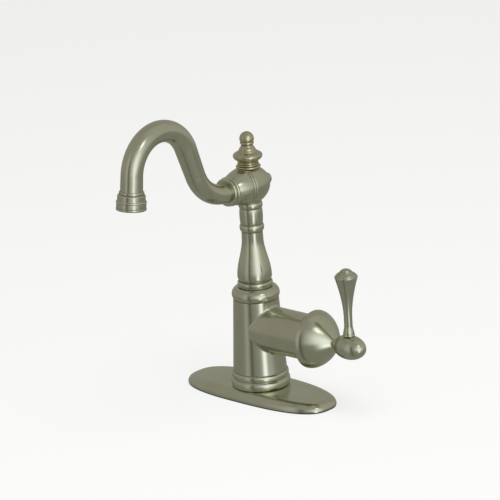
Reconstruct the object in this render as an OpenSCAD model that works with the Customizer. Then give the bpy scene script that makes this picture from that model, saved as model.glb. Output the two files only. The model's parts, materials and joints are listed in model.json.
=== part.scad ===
// Single-lever bar faucet: deck plate, tapered valve body with a side cartridge housing,
// turned pillar, onion-shaped hub with finial, swan-neck spout and bell-and-lever handle.
// Origin: centre of the deck face, under the pillar axis. +Z up, +X to the handle, -Y to the spout.

/* [Deck plate] */
// Length of the oval plate
plate_len = 158.4; // [146:0.2:190]
// Width of the oval plate
plate_w = 59.6; // [58:0.2:72]
// Exponent of the oval, 2 is an ellipse
plate_power = 2.7; // [2.2:0.1:3.2]
// Height of the plate's top above the deck, under the pillar
plate_top = 9.8; // [8.4:0.1:13]
// How far the top falls away towards the two ends
plate_drop = 2.4; // [0:0.1:2.6]
// Width of the plate's rounded edge
plate_round = 8; // [5:0.25:10]
// Wall of the cast plate over its hollow
plate_wall = 2; // [1.5:0.1:2.6]
// Thickness of the sealing pad under the plate
gasket_t = 1.2; // [0.8:0.1:2]

/* [Valve body] */
// Diameter of the lower bead at the foot
foot_d = 52; // [50:0.2:56]
// Height of the two foot beads together
foot_h = 13.6; // [11:0.1:17]
// Diameter of the body just above the foot beads
body_low_d = 47.2; // [45:0.2:49]
// Diameter of the body under the collar
body_top_d = 40; // [39:0.2:42]
// Height of the body above the plate
body_h = 79.4; // [77:0.2:95]
// Height of the side housing's axis above the plate
housing_rise = 53.2; // [50:0.2:54]
// Outside diameter of the side housing
housing_d = 40.2; // [39.6:0.2:40.6]
// Distance from the pillar axis to the housing's open end
housing_reach = 64.4; // [63:0.1:64.6]

/* [Collar] */
// Radius of the collar's rounded section
collar_round = 7; // [6.6:0.1:7.6]
// Diameter of the collar at its widest
collar_d = 42; // [41:0.2:43.6]
// Height of the collar
collar_h = 10.8; // [10:0.1:12.4]

/* [Pillar] */
// Height of the pillar from its foot to the hub seat
pillar_h = 75.8; // [68:0.2:110]
// Diameter of the pillar's foot ring
pillar_foot_d = 30.8; // [29.6:0.2:33]
// Diameter of the pillar's belly
belly_d = 30.2; // [26:0.2:34]
// Diameter of the slim neck above the belly
slim_d = 18.6; // [17:0.2:21]
// Diameter of the ring at mid height
mid_ring_d = 21.4; // [20:0.2:24]
// Diameter of the ring under the hub
neck_ring_d = 21; // [19.6:0.2:24]
// Diameter of the water passage
water_bore = 11; // [9:0.2:11.4]
// Diameter of the turning spigot below the foot
spigot_d = 19; // [18:0.2:20]

/* [Hub] */
// Diameter of the hub at its widest
hub_d = 34.6; // [32:0.2:38]
// How far the widest place lies in front of the pillar axis
hub_shift = 1; // [0:0.25:2]
// Length of the full curve in front of the widest place
hub_nose = 33; // [31:0.25:36]
// Length of the full curve behind the widest place
hub_tail = 21.5; // [20.5:0.25:24]
// Exponent of the hub's curve, 2 is an ellipse
hub_power = 1.85; // [1.75:0.05:2.2]
// Distance of the hub's front face from the pillar axis
hub_front = 24; // [23:0.25:25]
// Distance of the hub's rear face from the pillar axis
hub_rear = 19; // [18:0.25:19.5]

/* [Spout] */
// Outside diameter of the tube at the hub
tube_d = 17.6; // [17:0.1:18.6]
// Outside diameter of the tube round the arch
arch_d = 18.9; // [18.4:0.1:19.6]
// Outside diameter of the tube at its outlet
leg_d = 19.5; // [19:0.1:20]
// Wall of the tube
tube_wall = 1.5; // [1:0.1:2]
// Where the lower bend starts, in front of the pillar axis
bend_start = 31; // [30.6:0.2:40]
// Radius of the lower bend
low_bend_r = 37.5; // [32:0.5:60]
// Angle at which the tube climbs
climb_angle = 70; // [60:1:80]
// Length of the straight climb
climb_len = 27.5; // [16:0.5:50]
// Radius of the arch
arch_r = 34.1; // [26:0.1:46]
// Outward tilt of the outlet from plumb
outlet_tilt = 7; // [0:1:15]
// Length of the straight leg down to the outlet collar
leg_len = 12.7; // [8:0.1:30]

/* [Outlet] */
// Diameter of the outlet collar
outlet_d = 23.9; // [23.4:0.1:25]
// Length of the outlet collar with its step
outlet_len = 7.7; // [7:0.1:10]
// Diameter of the aerator shell
aerator_d = 26; // [25.6:0.1:28]
// Length of the aerator shell
aerator_len = 8.3; // [7.8:0.1:12]

/* [Finial] */
// Diameter of the finial's base ring
finial_base_d = 21.6; // [20:0.2:24]
// Diameter of the finial's wide disc
finial_disc_d = 25.6; // [22:0.2:29]
// Diameter of the finial's top ball
finial_ball_d = 12.6; // [11.4:0.2:14]
// Height of the finial
finial_h = 31.8; // [30:0.2:38]

/* [Handle] */
// Diameter of the bell at its widest
bell_d = 51.2; // [48:0.2:53]
// Diameter of the bell's rim
rim_d = 43.6; // [43.4:0.2:46]
// Wall of the bell
bell_wall = 1.4; // [1:0.1:1.4]
// How far the bell's rim laps over the housing's open end
rim_lap = 0.8; // [0:0.1:1.2]
// Length of the bell's rounded shoulder, from its rolled rim to its widest place
shoulder_len = 1; // [1:0.1:5]
// Length of the bell from rim to tip
bell_len = 27; // [26:0.2:34]
// Length of the egg-shaped ball
egg_len = 33; // [31:0.2:40]
// Diameter of the egg-shaped ball
egg_d = 21.6; // [20:0.2:25]
// Height of the lever's top above the handle axis
lever_h = 70.4; // [58:0.2:95]
// Diameter of the lever at its slimmest
lever_slim_d = 7.3; // [6:0.1:8]
// Diameter of the lever's head
lever_head_d = 20; // [16:0.2:24]

/* [Cartridge] */
// Outside diameter of the cartridge
cart_d = 34.6; // [34:0.1:35]
// Distance from the pillar axis to the cartridge seat
seat_x = 22; // [21:0.1:23]
// Distance of the lever's pivot pin inside the housing's open end
pivot_depth = 10.4; // [10:0.1:10.8]
// Diameter of the pivot pin
pin_d = 3; // [2.4:0.1:3.4]
// Travel of the lever in degrees
lift_travel = 16; // [10:1:16]

/* [Inlets] */
// Diameter of the two supply hose threads
inlet_d = 9.2; // [8:0.1:10]
// Diameter of the mounting stud's thread
stud_d = 6.8; // [5:0.1:8]
// Distance of each inlet from the middle
inlet_offset = 8; // [7:0.1:8.4]
// Height of the inlet block's face above the deck
inlet_face = 6; // [5:0.1:7]

/* [Clearances] */
// Radial gap in a screwed or pressed joint
fit_gap = 0.05; // [0.03:0.01:0.08]
// Radial gap of a turning fit
run_gap = 0.08; // [0.05:0.01:0.1]
// Gap between pieces that move past each other
slip_gap = 0.4; // [0.3:0.05:0.6]

/* [Hidden] */
$fn = 72;

satin_nickel = [0.55, 0.54, 0.48];
warm_nickel = [0.57, 0.53, 0.42];
raw_brass = [0.72, 0.58, 0.30];
dark_rubber = [0.10, 0.10, 0.10];
white_plastic = [0.88, 0.88, 0.85];
grey_plastic = [0.45, 0.46, 0.48];
ceramic = [0.93, 0.91, 0.86];
steel = [0.66, 0.67, 0.68];

// Heights along the pillar axis, from the deck up
body_top = plate_top + body_h;
axis_z = plate_top + housing_rise;
pivot_x = housing_reach - pivot_depth;
rim_reach = housing_reach - rim_lap;
collar_top = body_top + collar_h;
washer_t = 0.4;
// Step between lengths that are joined end to end
seam = 0.05;
pillar_foot = collar_top + washer_t + run_gap;
hub_seat = pillar_foot + pillar_h;
seat_depth = 15.4;
hub_z = hub_seat + seat_depth;
hub_boss_top = hub_z + hub_d / 2 - 2.2;
finial_washer_t = 0.5;
finial_foot = hub_boss_top + finial_washer_t;

// ---------- outline helpers: lists of [radius, height] points ----------

// Points of a circular arc
function arc_points(cx, cy, r, from, to, steps) =
    [for (i = [0:steps]) let (a = from + (to - from) * i / steps) [cx + r * cos(a), cy + r * sin(a)]];

// A smooth S from radius r0 at height z0 to radius r1 at height z1: half a cosine wave
function ease_points(r0, z0, r1, z1, steps) =
    [for (i = [0:steps]) let (t = i / steps) [r0 + (r1 - r0) * (1 - cos(180 * t)) / 2, z0 + (z1 - z0) * t]];

// A flare that starts along the axis and opens with t to the given power
function flare_points(r0, z0, r1, z1, power, steps) =
    [for (i = [0:steps]) let (t = i / steps) [r0 + (r1 - r0) * pow(t, power), z0 + (z1 - z0) * t]];

// A rounded bead between heights z0 and z1, standing proud of radius r by bulge
function bead_points(r, bulge, z0, z1, steps) =
    [for (i = [0:steps]) let (a = 180 * i / steps) [r + bulge * sin(a), (z0 + z1) / 2 - (z1 - z0) / 2 * cos(a)]];

// Half of an ellipse with half length a along the axis and greatest radius b
function egg_points(a, b, from, to, steps) =
    [for (i = [0:steps]) let (t = from + (to - from) * i / steps) [b * sin(t), -a * cos(t)]];

// ---------- placing helpers ----------

module turned(points) rotate_extrude() polygon(points);
module bore(d, from, to) translate([0, 0, from]) cylinder(d = d, h = to - from);
module tube(d_out, d_in, from, to) difference() {
    bore(d_out, from, to);
    bore(d_in, from - 1, to + 1);
}
// The local Z axis points along the handle axis, starting on the pillar axis
module on_handle_axis() translate([0, 0, axis_z]) rotate([0, 90, 0]) children();
// The local Z axis points to the front, starting in the middle of the hub
module on_hub_axis() translate([0, 0, hub_z]) rotate([90, 0, 0]) children();
// Local X runs to the front and local Y runs up
module in_spout_plane() rotate([90, 0, -90]) children();

// ---------- deck plate ----------

plate_a = plate_len / 2;
plate_b = plate_w / 2;
plate_points = 96;
plate_lip = 0.8;
edge_steps = 7;
pocket_inset = 6.4;
// Ceiling of the hollow, one wall below the lowest place of the top
pocket_top = plate_top - plate_drop - plate_wall;
shank_hole_d = 34.8;

// A power that keeps its sign
function signed_power(v, e) = sign(v) * pow(abs(v), e);
// Points of the superellipse |x/a|^p + |y/b|^p = 1, drawn in square to itself by inset
function oval_points(inset) = [for (i = [0:plate_points - 1]) let (
    t = 360 * i / plate_points,
    x = signed_power(cos(t), 2 / plate_power),
    y = signed_power(sin(t), 2 / plate_power),
    slope = [signed_power(x, plate_power - 1) / plate_a, signed_power(y, plate_power - 1) / plate_b])
    [plate_a * x, plate_b * y] - inset * slope / norm(slope)];
// Height of the crowned top at distance x from the middle
function crown(x) = plate_top - plate_drop * pow(abs(x) / plate_a, 2.5);
// One ring of the rounded edge at angle turn, from 0 at its foot to 90 at the flat top
function edge_ring(turn) = let (low = gasket_t + plate_lip)
    [for (p = oval_points(plate_round * (1 - cos(turn)))) [p[0], p[1], low + (crown(p[0]) - low) * sin(turn)]];

// The solid oval with its crowned top: rings of points up the edge, and strips across the top
module solid_plate() {
    n = plate_points;
    rings = edge_steps + 2;
    last = (rings - 1) * n;
    polyhedron(
        points = concat([for (p = oval_points(0)) [p[0], p[1], gasket_t]],
            [for (k = [0:edge_steps]) each edge_ring(90 * k / edge_steps)]),
        faces = concat([[for (i = [0:n - 1]) i]],
            [for (k = [0:rings - 2], i = [0:n - 1])
                [k * n + i, (k + 1) * n + i, (k + 1) * n + (i + 1) % n, k * n + (i + 1) % n]],
            [[last, last + n - 1, last + 1], [last + n / 2 + 1, last + n / 2, last + n / 2 - 1]],
            [for (i = [1:n / 2 - 2]) [last + n - i, last + n - i - 1, last + i + 1, last + i]]));
}

module plate_gasket() color(dark_rubber) difference() {
    linear_extrude(gasket_t) polygon(oval_points(0.4));
    bore(shank_hole_d + 2, -1, gasket_t + 1);
}

module deck_plate() color(satin_nickel) difference() {
    solid_plate();
    difference() {
        linear_extrude(pocket_top) polygon(oval_points(pocket_inset));
        bore(shank_hole_d + 2 * plate_wall + 3, -1, plate_top);
    }
    bore(shank_hole_d, 0, plate_top + 1);
}

// ---------- valve body ----------

foot_groove = 0.8;
low_bead_h = foot_h * 0.52;
chamber_d = cart_d + 2 * fit_gap;
nut_d = housing_d - 3.6;
nut_from = housing_reach - 10.4;
spigot_bore = spigot_d + 2 * run_gap;
neck_d = 32;
neck_top = body_top + 4.8;
clip_d = 25;
clip_low = body_top + 0.8;
block_d = 34;
seal_t = 0.9;
seal_in_d = shank_hole_d + 3.2;
seal_out_d = seal_in_d + 5;
block_top = plate_top + foot_h;
port_r = 9;
port_d = 5.6;
mixed_port_z = axis_z + port_r;
// The spigot ends above the port that feeds it
spigot_low = mixed_port_z + port_d / 2 + 1;
// Distance of the hot and cold passages from the pillar axis
inlet_x = 12.6;
// Hot and cold ports lie below the handle axis, the mixed water port above it
port_angles = [90, 210, 330];

// Places its children at each port, on the local Z axis of the handle
module at_ports() for (a = port_angles) rotate([0, 0, 90 + a]) translate([port_r, 0, 0]) children();

module body_outside() {
    turned(concat(
        [[0, plate_top], [foot_d / 2 - 1.6, plate_top]],
        bead_points(foot_d / 2 - 1.2, 1.2, plate_top + 0.2, plate_top + low_bead_h, 10),
        [[foot_d / 2 - 1.6, plate_top + low_bead_h + foot_groove]],
        bead_points(foot_d / 2 - 1.9, 0.9, plate_top + low_bead_h + foot_groove, plate_top + foot_h - 0.4, 10),
        [[body_low_d / 2, plate_top + foot_h], [body_top_d / 2, body_top], [neck_d / 2, body_top],
         [neck_d / 2, neck_top], [0, neck_top]]));
    on_handle_axis() difference() {
        bore(housing_d, 0, housing_reach);
        translate([0, 0, housing_reach]) rotate_extrude()
            polygon([[housing_d / 2 - 0.6, 0.1], [housing_d / 2 + 1, 0.1], [housing_d / 2 + 1, -0.6], [housing_d / 2, -0.6]]);
    }
}

module valve_body() color(satin_nickel) difference() {
    body_outside();
    // The collar's seat is cut level round the neck
    tube(collar_d + 2, neck_d, body_top, collar_top);
    // Turning bore of the spout and the pocket of its clip
    bore(spigot_bore, mixed_port_z - port_d / 2 - 1, neck_top + 1);
    bore(clip_d + 2 * slip_gap, clip_low, neck_top + 1);
    // Socket of the inlet block, and the groove of the foot seal round it
    bore(block_d, plate_top - 1, block_top);
    tube(seal_out_d, seal_in_d, plate_top - 1, plate_top + seal_t);
    // Chamber of the cartridge, with its wider thread
    on_handle_axis() {
        bore(chamber_d, seat_x, housing_reach + 1);
        bore(nut_d, nut_from, housing_reach + 1);
    }
    // Mixed water: from the seat into the turning bore
    on_handle_axis() rotate([0, 0, 180]) translate([port_r, 0, 0]) bore(port_d, 5, seat_x + 1);
    // Hot and cold water: up from the inlet block, then across to the seat
    for (side = [-1, 1]) {
        translate([inlet_x, side * port_r * cos(30), 0]) bore(port_d, block_top - 1, axis_z - port_r / 2);
        translate([inlet_x, side * port_r * cos(30), axis_z - port_r / 2]) rotate([0, 90, 0])
            bore(port_d, 0, seat_x - inlet_x + 1);
    }
}

// ---------- foot seal and inlet block ----------

// Squeezed flat in its groove, against the plate
module foot_seal() color(dark_rubber) tube(seal_out_d, seal_in_d, plate_top, plate_top + seal_t);

module inlet_block() color(raw_brass) difference() {
    bore(block_d - 2 * fit_gap, inlet_face, block_top - fit_gap);
    for (side = [-1, 1]) {
        // Supply hose thread, open to the deck
        translate([0, side * inlet_offset, 0]) bore(inlet_d, inlet_face - 1, block_top - 5);
        // Cross-over from the thread to the passage in the body
        translate([inlet_x, side * port_r * cos(30), 0]) bore(port_d, block_top - 8, block_top + 1);
        translate([0, side * inlet_offset, block_top - 7.6]) rotate([0, 90, 0]) bore(port_d / 2, 0, inlet_x);
    }
    translate([-inlet_offset - 2, 0, 0]) bore(stud_d, inlet_face - 1, block_top - 3);
}

// ---------- collar ----------

module collar_nut() color(satin_nickel) difference() {
    intersection() {
        translate([0, 0, body_top + collar_h * 0.4]) rotate_extrude() {
            translate([collar_d / 2 - collar_round, 0]) circle(r = collar_round);
            translate([0, -collar_round]) square([collar_d / 2 - collar_round, 2 * collar_round]);
        }
        bore(collar_d + 2, body_top, collar_top);
    }
    bore(neck_d + 2 * fit_gap, body_top - 1, neck_top + fit_gap);
    bore(spigot_bore, body_top - 1, collar_top + 1);
}

module thrust_washer() color(white_plastic) tube(pillar_foot_d - 3, spigot_bore, collar_top, collar_top + washer_t);

// ---------- pillar ----------

mid_ring_z = pillar_foot + pillar_h * 0.7;
mid_ring_h = 6;
// Height of the belly's widest place, and the length of even neck below the middle of the ring
belly_z = pillar_foot + 8.4;
cone_end = 9.5;
neck_ring_h = 5;
top_spigot_d = 14;
top_spigot_h = 7.4;
seal_groove = 1.5;
seal_groove_w = 2.2;
// One seal just above the port, and one just below the clip
seal_places = [spigot_low + 0.6, clip_low - slip_gap - seal_groove_w];
clip_groove_d = spigot_d - 3;
clip_split = 4;

module spout_pillar() color(satin_nickel) difference() {
    union() {
        turned(concat(
            [[0, pillar_foot], [pillar_foot_d / 2 - 0.7, pillar_foot]],
            arc_points(pillar_foot_d / 2 - 0.7, pillar_foot + 0.7, 0.7, -90, 0, 4),
            bead_points(pillar_foot_d / 2 - 0.6, 0.6, pillar_foot + 1, pillar_foot + 4.4, 8),
            [[pillar_foot_d / 2 - 1.2, pillar_foot + 4.8]],
            ease_points(belly_d / 2 - 1, pillar_foot + 5.2, belly_d / 2, belly_z, 8),
            ease_points(belly_d / 2, belly_z + 0.4, slim_d / 2 + 0.1, mid_ring_z - cone_end, 26),
            [[slim_d / 2, mid_ring_z - mid_ring_h / 2 - 0.3]],
            bead_points(slim_d / 2 + 0.3, (mid_ring_d - slim_d) / 2 - 0.3, mid_ring_z - mid_ring_h / 2, mid_ring_z + mid_ring_h / 2, 14),
            bead_points(slim_d / 2 + 0.2, 0.7, mid_ring_z + mid_ring_h / 2 + 0.3, hub_seat - neck_ring_h - 0.3, 12),
            bead_points(slim_d / 2 + 0.4, (neck_ring_d - slim_d) / 2 - 0.4, hub_seat - neck_ring_h, hub_seat, 12),
            [[0, hub_seat]]));
        bore(top_spigot_d, hub_seat - 1, hub_seat + top_spigot_h);
        bore(spigot_d, spigot_low, pillar_foot + 1);
    }
    bore(water_bore, spigot_low - 1, hub_seat + top_spigot_h + 1);
    for (z = seal_places) tube(spigot_d + 2, spigot_d - 2 * seal_groove, z, z + seal_groove_w);
    tube(spigot_d + 2, clip_groove_d, clip_low + 0.2, neck_top - 0.2);
}

module spigot_seals() color(dark_rubber) for (z = seal_places) translate([0, 0, z + seal_groove_w / 2])
    rotate_extrude() translate([(spigot_d - seal_groove + run_gap) / 2, 0]) circle(d = seal_groove, $fn = 24);

// A split ring that snaps into the pillar's groove and keeps the spout from lifting out
module spout_clip() color(white_plastic) difference() {
    tube(clip_d, clip_groove_d + 2 * fit_gap, clip_low + slip_gap, neck_top - slip_gap);
    translate([-clip_split / 2, 0, clip_low]) cube([clip_split, clip_d, neck_top - clip_low]);
}

// ---------- hub ----------

// Radius of the hub at distance u in front of the pillar axis
function hub_radius(u) = let (reach = (u > hub_shift ? hub_nose : hub_tail))
    hub_d / 2 * pow(1 - pow(abs(u - hub_shift) / reach, hub_power), 1 / hub_power);
hub_steps = 30;
hub_groove_ahead = 7;
hub_groove_pitch = 2.6;
hub_groove_w = 0.9;
hub_groove_depth = 0.55;
hub_boss_d = 19;
hub_low_boss_d = 19.6;
tube_end = hub_front - 9;
hub_cavity_d = tube_d - 2 * tube_wall;
rear_thread_d = 9;
finial_stud_d = 5;
finial_stud_len = 8;

module spout_hub() color(satin_nickel) difference() {
    union() {
        on_hub_axis() turned(concat([[0, -hub_rear]],
            [for (i = [0:hub_steps]) let (u = -hub_rear + (hub_front + hub_rear) * i / hub_steps) [hub_radius(u), u]],
            [[0, hub_front]]));
        bore(hub_low_boss_d, hub_seat, hub_z);
        bore(hub_boss_d, hub_z, hub_boss_top);
    }
    for (k = [0, 1]) let (u = hub_shift + hub_groove_ahead + k * hub_groove_pitch) on_hub_axis()
        tube(hub_d + 2, 2 * (hub_radius(u) - hub_groove_depth), u - hub_groove_w / 2, u + hub_groove_w / 2);
    // Socket of the spout tube and the water chamber behind it
    on_hub_axis() {
        bore(tube_d + 2 * fit_gap, tube_end, hub_front + 1);
        bore(hub_cavity_d, -hub_rear + 8, hub_front);
        bore(rear_thread_d + 2 * fit_gap, -hub_rear - 1, 0);
    }
    // Socket of the pillar and thread of the finial
    bore(top_spigot_d + 2 * fit_gap, hub_seat - 1, hub_seat + top_spigot_h + 4);
    bore(finial_stud_d + 2 * fit_gap, hub_boss_top - finial_stud_len, hub_boss_top + 1);
    // Flat seats of the pillar's ring and of the finial's base
    bore(neck_ring_d + slip_gap, hub_z - hub_d / 2 - 1, hub_seat);
    bore(finial_base_d + slip_gap, hub_boss_top, hub_z + hub_d / 2 + 1);
}

rear_cap_d = 10.8;
rear_cap_h = 7;

// A domed screw plug at the back of the hub
module hub_rear_cap() color(satin_nickel) on_hub_axis() mirror([0, 0, 1]) {
    turned(concat(
        [[0, hub_rear], [rear_cap_d / 2 - 0.4, hub_rear], [rear_cap_d / 2, hub_rear + 0.5],
         [rear_cap_d / 2, hub_rear + rear_cap_h * 0.35]],
        [for (i = [1:10]) let (t = 90 * i / 10)
            [rear_cap_d / 2 * cos(t), hub_rear + rear_cap_h * 0.35 + rear_cap_h * 0.65 * sin(t)]]));
    bore(rear_thread_d, hub_rear - 7, hub_rear);
}

front_ring_d = 25.4;
front_ring_len = bend_start - hub_front - slip_gap;

// Two beads round the tube where it leaves the hub
module hub_front_ring() color(satin_nickel) on_hub_axis() difference() {
    turned(concat(
        [[0, hub_front]],
        bead_points(front_ring_d / 2 - 0.9, 1.2, hub_front, hub_front + front_ring_len * 0.5, 10),
        bead_points(front_ring_d / 2 - 1.5, 1.2, hub_front + front_ring_len * 0.54, hub_front + front_ring_len, 10),
        [[0, hub_front + front_ring_len]]));
    bore(tube_d + 2 * fit_gap, hub_front - 1, bend_start);
}

// ---------- spout tube ----------

low_bend_c = [bend_start, hub_z + low_bend_r];
climb_from = low_bend_c + low_bend_r * [sin(climb_angle), -cos(climb_angle)];
climb_to = climb_from + climb_len * [cos(climb_angle), sin(climb_angle)];
arch_c = climb_to + arch_r * [sin(climb_angle), -cos(climb_angle)];
leg_from = arch_c + arch_r * [cos(outlet_tilt), sin(outlet_tilt)];
// The tube ends inside the outlet collar
leg_run = leg_len + outlet_len;

// A straight length from point p at angle a, with the given outside diameters at its ends.
// It laps into the bends before and after it, and its wall is a hair thinner than theirs.
module run(p, a, len, d0, d1, before = lap, after = lap)
    translate([p[0], p[1], 0]) rotate([0, 0, a]) rotate([0, 90, 0]) translate([0, 0, -before]) difference() {
        whole = len + before + after;
        cylinder(d1 = d0 - 2 * seam, d2 = d1 - 2 * seam, h = whole);
        translate([0, 0, -1])
            cylinder(d1 = d0 - 2 * tube_wall + 2 * seam, d2 = d1 - 2 * tube_wall + 2 * seam, h = whole + 2);
    }
// A bend about point c from angle from to angle to
module bend(c, r, from, to, d) translate([c[0], c[1], 0]) rotate([0, 0, from])
    rotate_extrude(angle = to - from, $fn = 120) translate([r, 0]) difference() {
        circle(d = d);
        circle(d = d - 2 * tube_wall);
    }
lap = 0.5;

module spout_tube() color(satin_nickel) in_spout_plane() {
    run([tube_end, hub_z], 0, bend_start - tube_end, tube_d, tube_d, before = 0);
    bend(low_bend_c, low_bend_r, -90, climb_angle - 90, tube_d);
    run(climb_from, climb_angle, climb_len, tube_d, arch_d);
    bend(arch_c, arch_r, outlet_tilt, climb_angle + 90, arch_d);
    run(leg_from, outlet_tilt - 90, leg_run, arch_d, leg_d, after = 0);
}

// ---------- outlet and aerator ----------

// The local Z axis runs down the leg, starting where the leg leaves the arch
module on_leg() in_spout_plane() translate([leg_from[0], leg_from[1], 0]) rotate([0, 0, outlet_tilt - 90])
    rotate([0, 90, 0]) children();

collar_from = leg_len;
collar_to = leg_len + outlet_len;
outlet_step = 2.8;
outlet_step_d = outlet_d - 2.4;
outlet_thread_d = 22;
aerator_to = collar_to + aerator_len;
ledge_d = 19.8;
ledge_h = 1;
insert_h = 2.6;
insert_from = aerator_to - ledge_h - insert_h;
rubber_h = 0.8;
// The collar's thread ends on the rubber washer
thread_to = insert_from - rubber_h;
mesh_pitch = 3.2;

module outlet_collar() color(satin_nickel) on_leg() difference() {
    union() {
        turned(concat(
            [[0, collar_from]],
            arc_points(outlet_step_d / 2 - 0.6, collar_from + 0.6, 0.6, -90, 0, 4),
            [[outlet_step_d / 2, collar_from + outlet_step - 0.4], [outlet_d / 2 - 0.5, collar_from + outlet_step],
             [outlet_d / 2, collar_from + outlet_step + 0.5], [outlet_d / 2, collar_to], [0, collar_to]]));
        bore(outlet_thread_d, collar_to - 1, thread_to);
    }
    bore(leg_d + 2 * fit_gap, collar_from - 1, collar_to);
    bore(leg_d - 2 * tube_wall, collar_from - 1, thread_to + 1);
}

module aerator_shell() color(satin_nickel) on_leg() difference() {
    turned([[0, collar_to], [aerator_d / 2 - 0.6, collar_to], [aerator_d / 2, collar_to + 0.6],
        [aerator_d / 2, collar_to + 1.6], [aerator_d / 2 - 0.3, collar_to + 2.2],
        [aerator_d / 2 - 0.3, aerator_to - 2.8], [aerator_d / 2, aerator_to - 2.2],
        [aerator_d / 2, aerator_to - 0.7], [aerator_d / 2 - 0.7, aerator_to], [0, aerator_to]]);
    bore(outlet_thread_d + 2 * fit_gap, collar_to - 1, aerator_to - ledge_h);
    bore(ledge_d, collar_to, aerator_to + 1);
}

module aerator_insert() color(grey_plastic) on_leg() difference() {
    bore(outlet_thread_d, insert_from, insert_from + insert_h);
    for (i = [-2:2], j = [-2:2]) if (i * i + j * j + i * j <= 4)
        translate([mesh_pitch * (i + j / 2), mesh_pitch * j * sin(60), 0])
            bore(mesh_pitch * 0.7, insert_from - 1, insert_from + insert_h + 1);
}

module aerator_washer() color(dark_rubber) on_leg()
    tube(outlet_thread_d, outlet_thread_d - 5, insert_from - rubber_h, insert_from);

// ---------- finial ----------

module finial_washer() color(dark_rubber)
    tube(hub_boss_d - 3, finial_stud_d + 2 * fit_gap, hub_boss_top, hub_boss_top + finial_washer_t);

// Heights on the finial are shares of its own height, measured up from its foot
function finial_at(share) = finial_foot + finial_h * share;

module finial() color(warm_nickel) {
    ball_r = finial_ball_d / 2;
    ball_z = finial_foot + finial_h - ball_r;
    ring_top = ball_z - 0.35 * ball_r;
    ring_low = ring_top - 0.4 * ball_r;
    neck_r = ball_r - 1.2;
    disc_r = finial_disc_d / 2;
    turned(concat(
        [[0, finial_foot]],
        bead_points(finial_base_d / 2 - 0.9, 0.9, finial_foot, finial_at(0.06), 8),
        bead_points(finial_base_d / 2 - 2.2, 0.9, finial_at(0.065), finial_at(0.115), 6),
        [[disc_r - 3.8, finial_at(0.13)], [disc_r - 3.8, finial_at(0.17)]],
        ease_points(disc_r - 3.6, finial_at(0.18), disc_r - 0.6, finial_at(0.28), 8),
        bead_points(disc_r - 0.6, 0.6, finial_at(0.285), finial_at(0.375), 8),
        ease_points(disc_r - 0.9, finial_at(0.38), disc_r - 4.6, finial_at(0.46), 6),
        [[disc_r - 4.8, finial_at(0.475)], [disc_r - 5.4, finial_at(0.49)]],
        ease_points(disc_r - 5.6, finial_at(0.5), neck_r, ring_low - 0.6, 8),
        bead_points(neck_r + 0.2, 0.8, ring_low, ring_top - 0.2, 8),
        arc_points(0, ball_z, ball_r, -17, 90, 16)));
    bore(finial_stud_d, hub_boss_top - finial_stud_len + 0.4, finial_foot + 1);
}

// ---------- cartridge ----------

base_t = 5;
disc_t = 3.4;
base_to = seat_x + base_t;
fixed_to = base_to + disc_t;
moving_from = fixed_to + run_gap;
moving_to = moving_from + disc_t;
carrier_to = moving_to + 7;
case_d = cart_d;
case_in = cart_d - 4;
neck_in = 23.4;
case_neck_d = 26.4;
case_shoulder = nut_from - 0.2;
sleeve_from = carrier_to + 0.6;
sleeve_to = pivot_x + 3.6;
stem_w = 8;
stem_ball_d = 6.4;
// The stem's ball stands clear of the floor of its socket
socket_floor = 0.6;
stem_tip = moving_to + socket_floor + slip_gap / 2 + stem_ball_d / 2;
stem_to = pivot_x + 20;
// How far the stem's square runs behind the pin
stem_heel = 5;
arm = pivot_x - stem_tip;
disc_travel = arm * lift_travel * PI / 180;
moving_disc_d = case_in - 2 * disc_travel - 1.2;
port_hole_d = 5;

module port_seals() color(dark_rubber) on_handle_axis() at_ports()
    tube(port_d + 3.2, port_d, seat_x, seat_x + 1.2);

module cartridge_base() color(white_plastic) on_handle_axis() difference() {
    bore(cart_d, seat_x, base_to);
    at_ports() {
        bore(port_hole_d, seat_x - 1, base_to + 1);
        bore(port_d + 3.2 + 2 * fit_gap, seat_x - 1, seat_x + 1.2);
    }
}

module fixed_disc() color(ceramic) on_handle_axis() difference() {
    bore(case_in - 2 * fit_gap, base_to, fixed_to);
    at_ports() bore(port_hole_d, base_to - 1, fixed_to + 1);
}

// The sliding disc uncovers the ports with the pocket in its face
module moving_disc() color(ceramic) on_handle_axis() difference() {
    bore(moving_disc_d, moving_from, moving_to);
    bore(moving_disc_d * 0.6, moving_from - 1, moving_from + 1.4);
}

module disc_carrier() color(grey_plastic) on_handle_axis() difference() {
    bore(moving_disc_d, moving_to, carrier_to);
    bore(stem_ball_d + 0.6, moving_to + socket_floor, carrier_to + 1);
}

module cartridge_case() color(white_plastic) on_handle_axis() difference() {
    union() {
        bore(case_d, base_to, case_shoulder);
        bore(case_neck_d, base_to, housing_reach - 3.4);
    }
    bore(case_in, base_to - 1, case_shoulder - 2.4);
    bore(neck_in, base_to, housing_reach);
}

nut_sunk = 1;
notch_w = 3.2;
notch_h = 3;
notch_in = 1.8;

module cartridge_nut() color(raw_brass) on_handle_axis() difference() {
    bore(nut_d - 2 * fit_gap, nut_from, housing_reach - nut_sunk);
    bore(case_neck_d + 2 * fit_gap, nut_from - 1, housing_reach);
    // Four notches for the spanner
    for (a = [0:90:270]) rotate([0, 0, a])
        translate([nut_d / 2 - notch_in, -notch_w / 2, housing_reach - nut_sunk - notch_h])
            cube([2 * notch_in, notch_w, notch_h + 1]);
}

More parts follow.
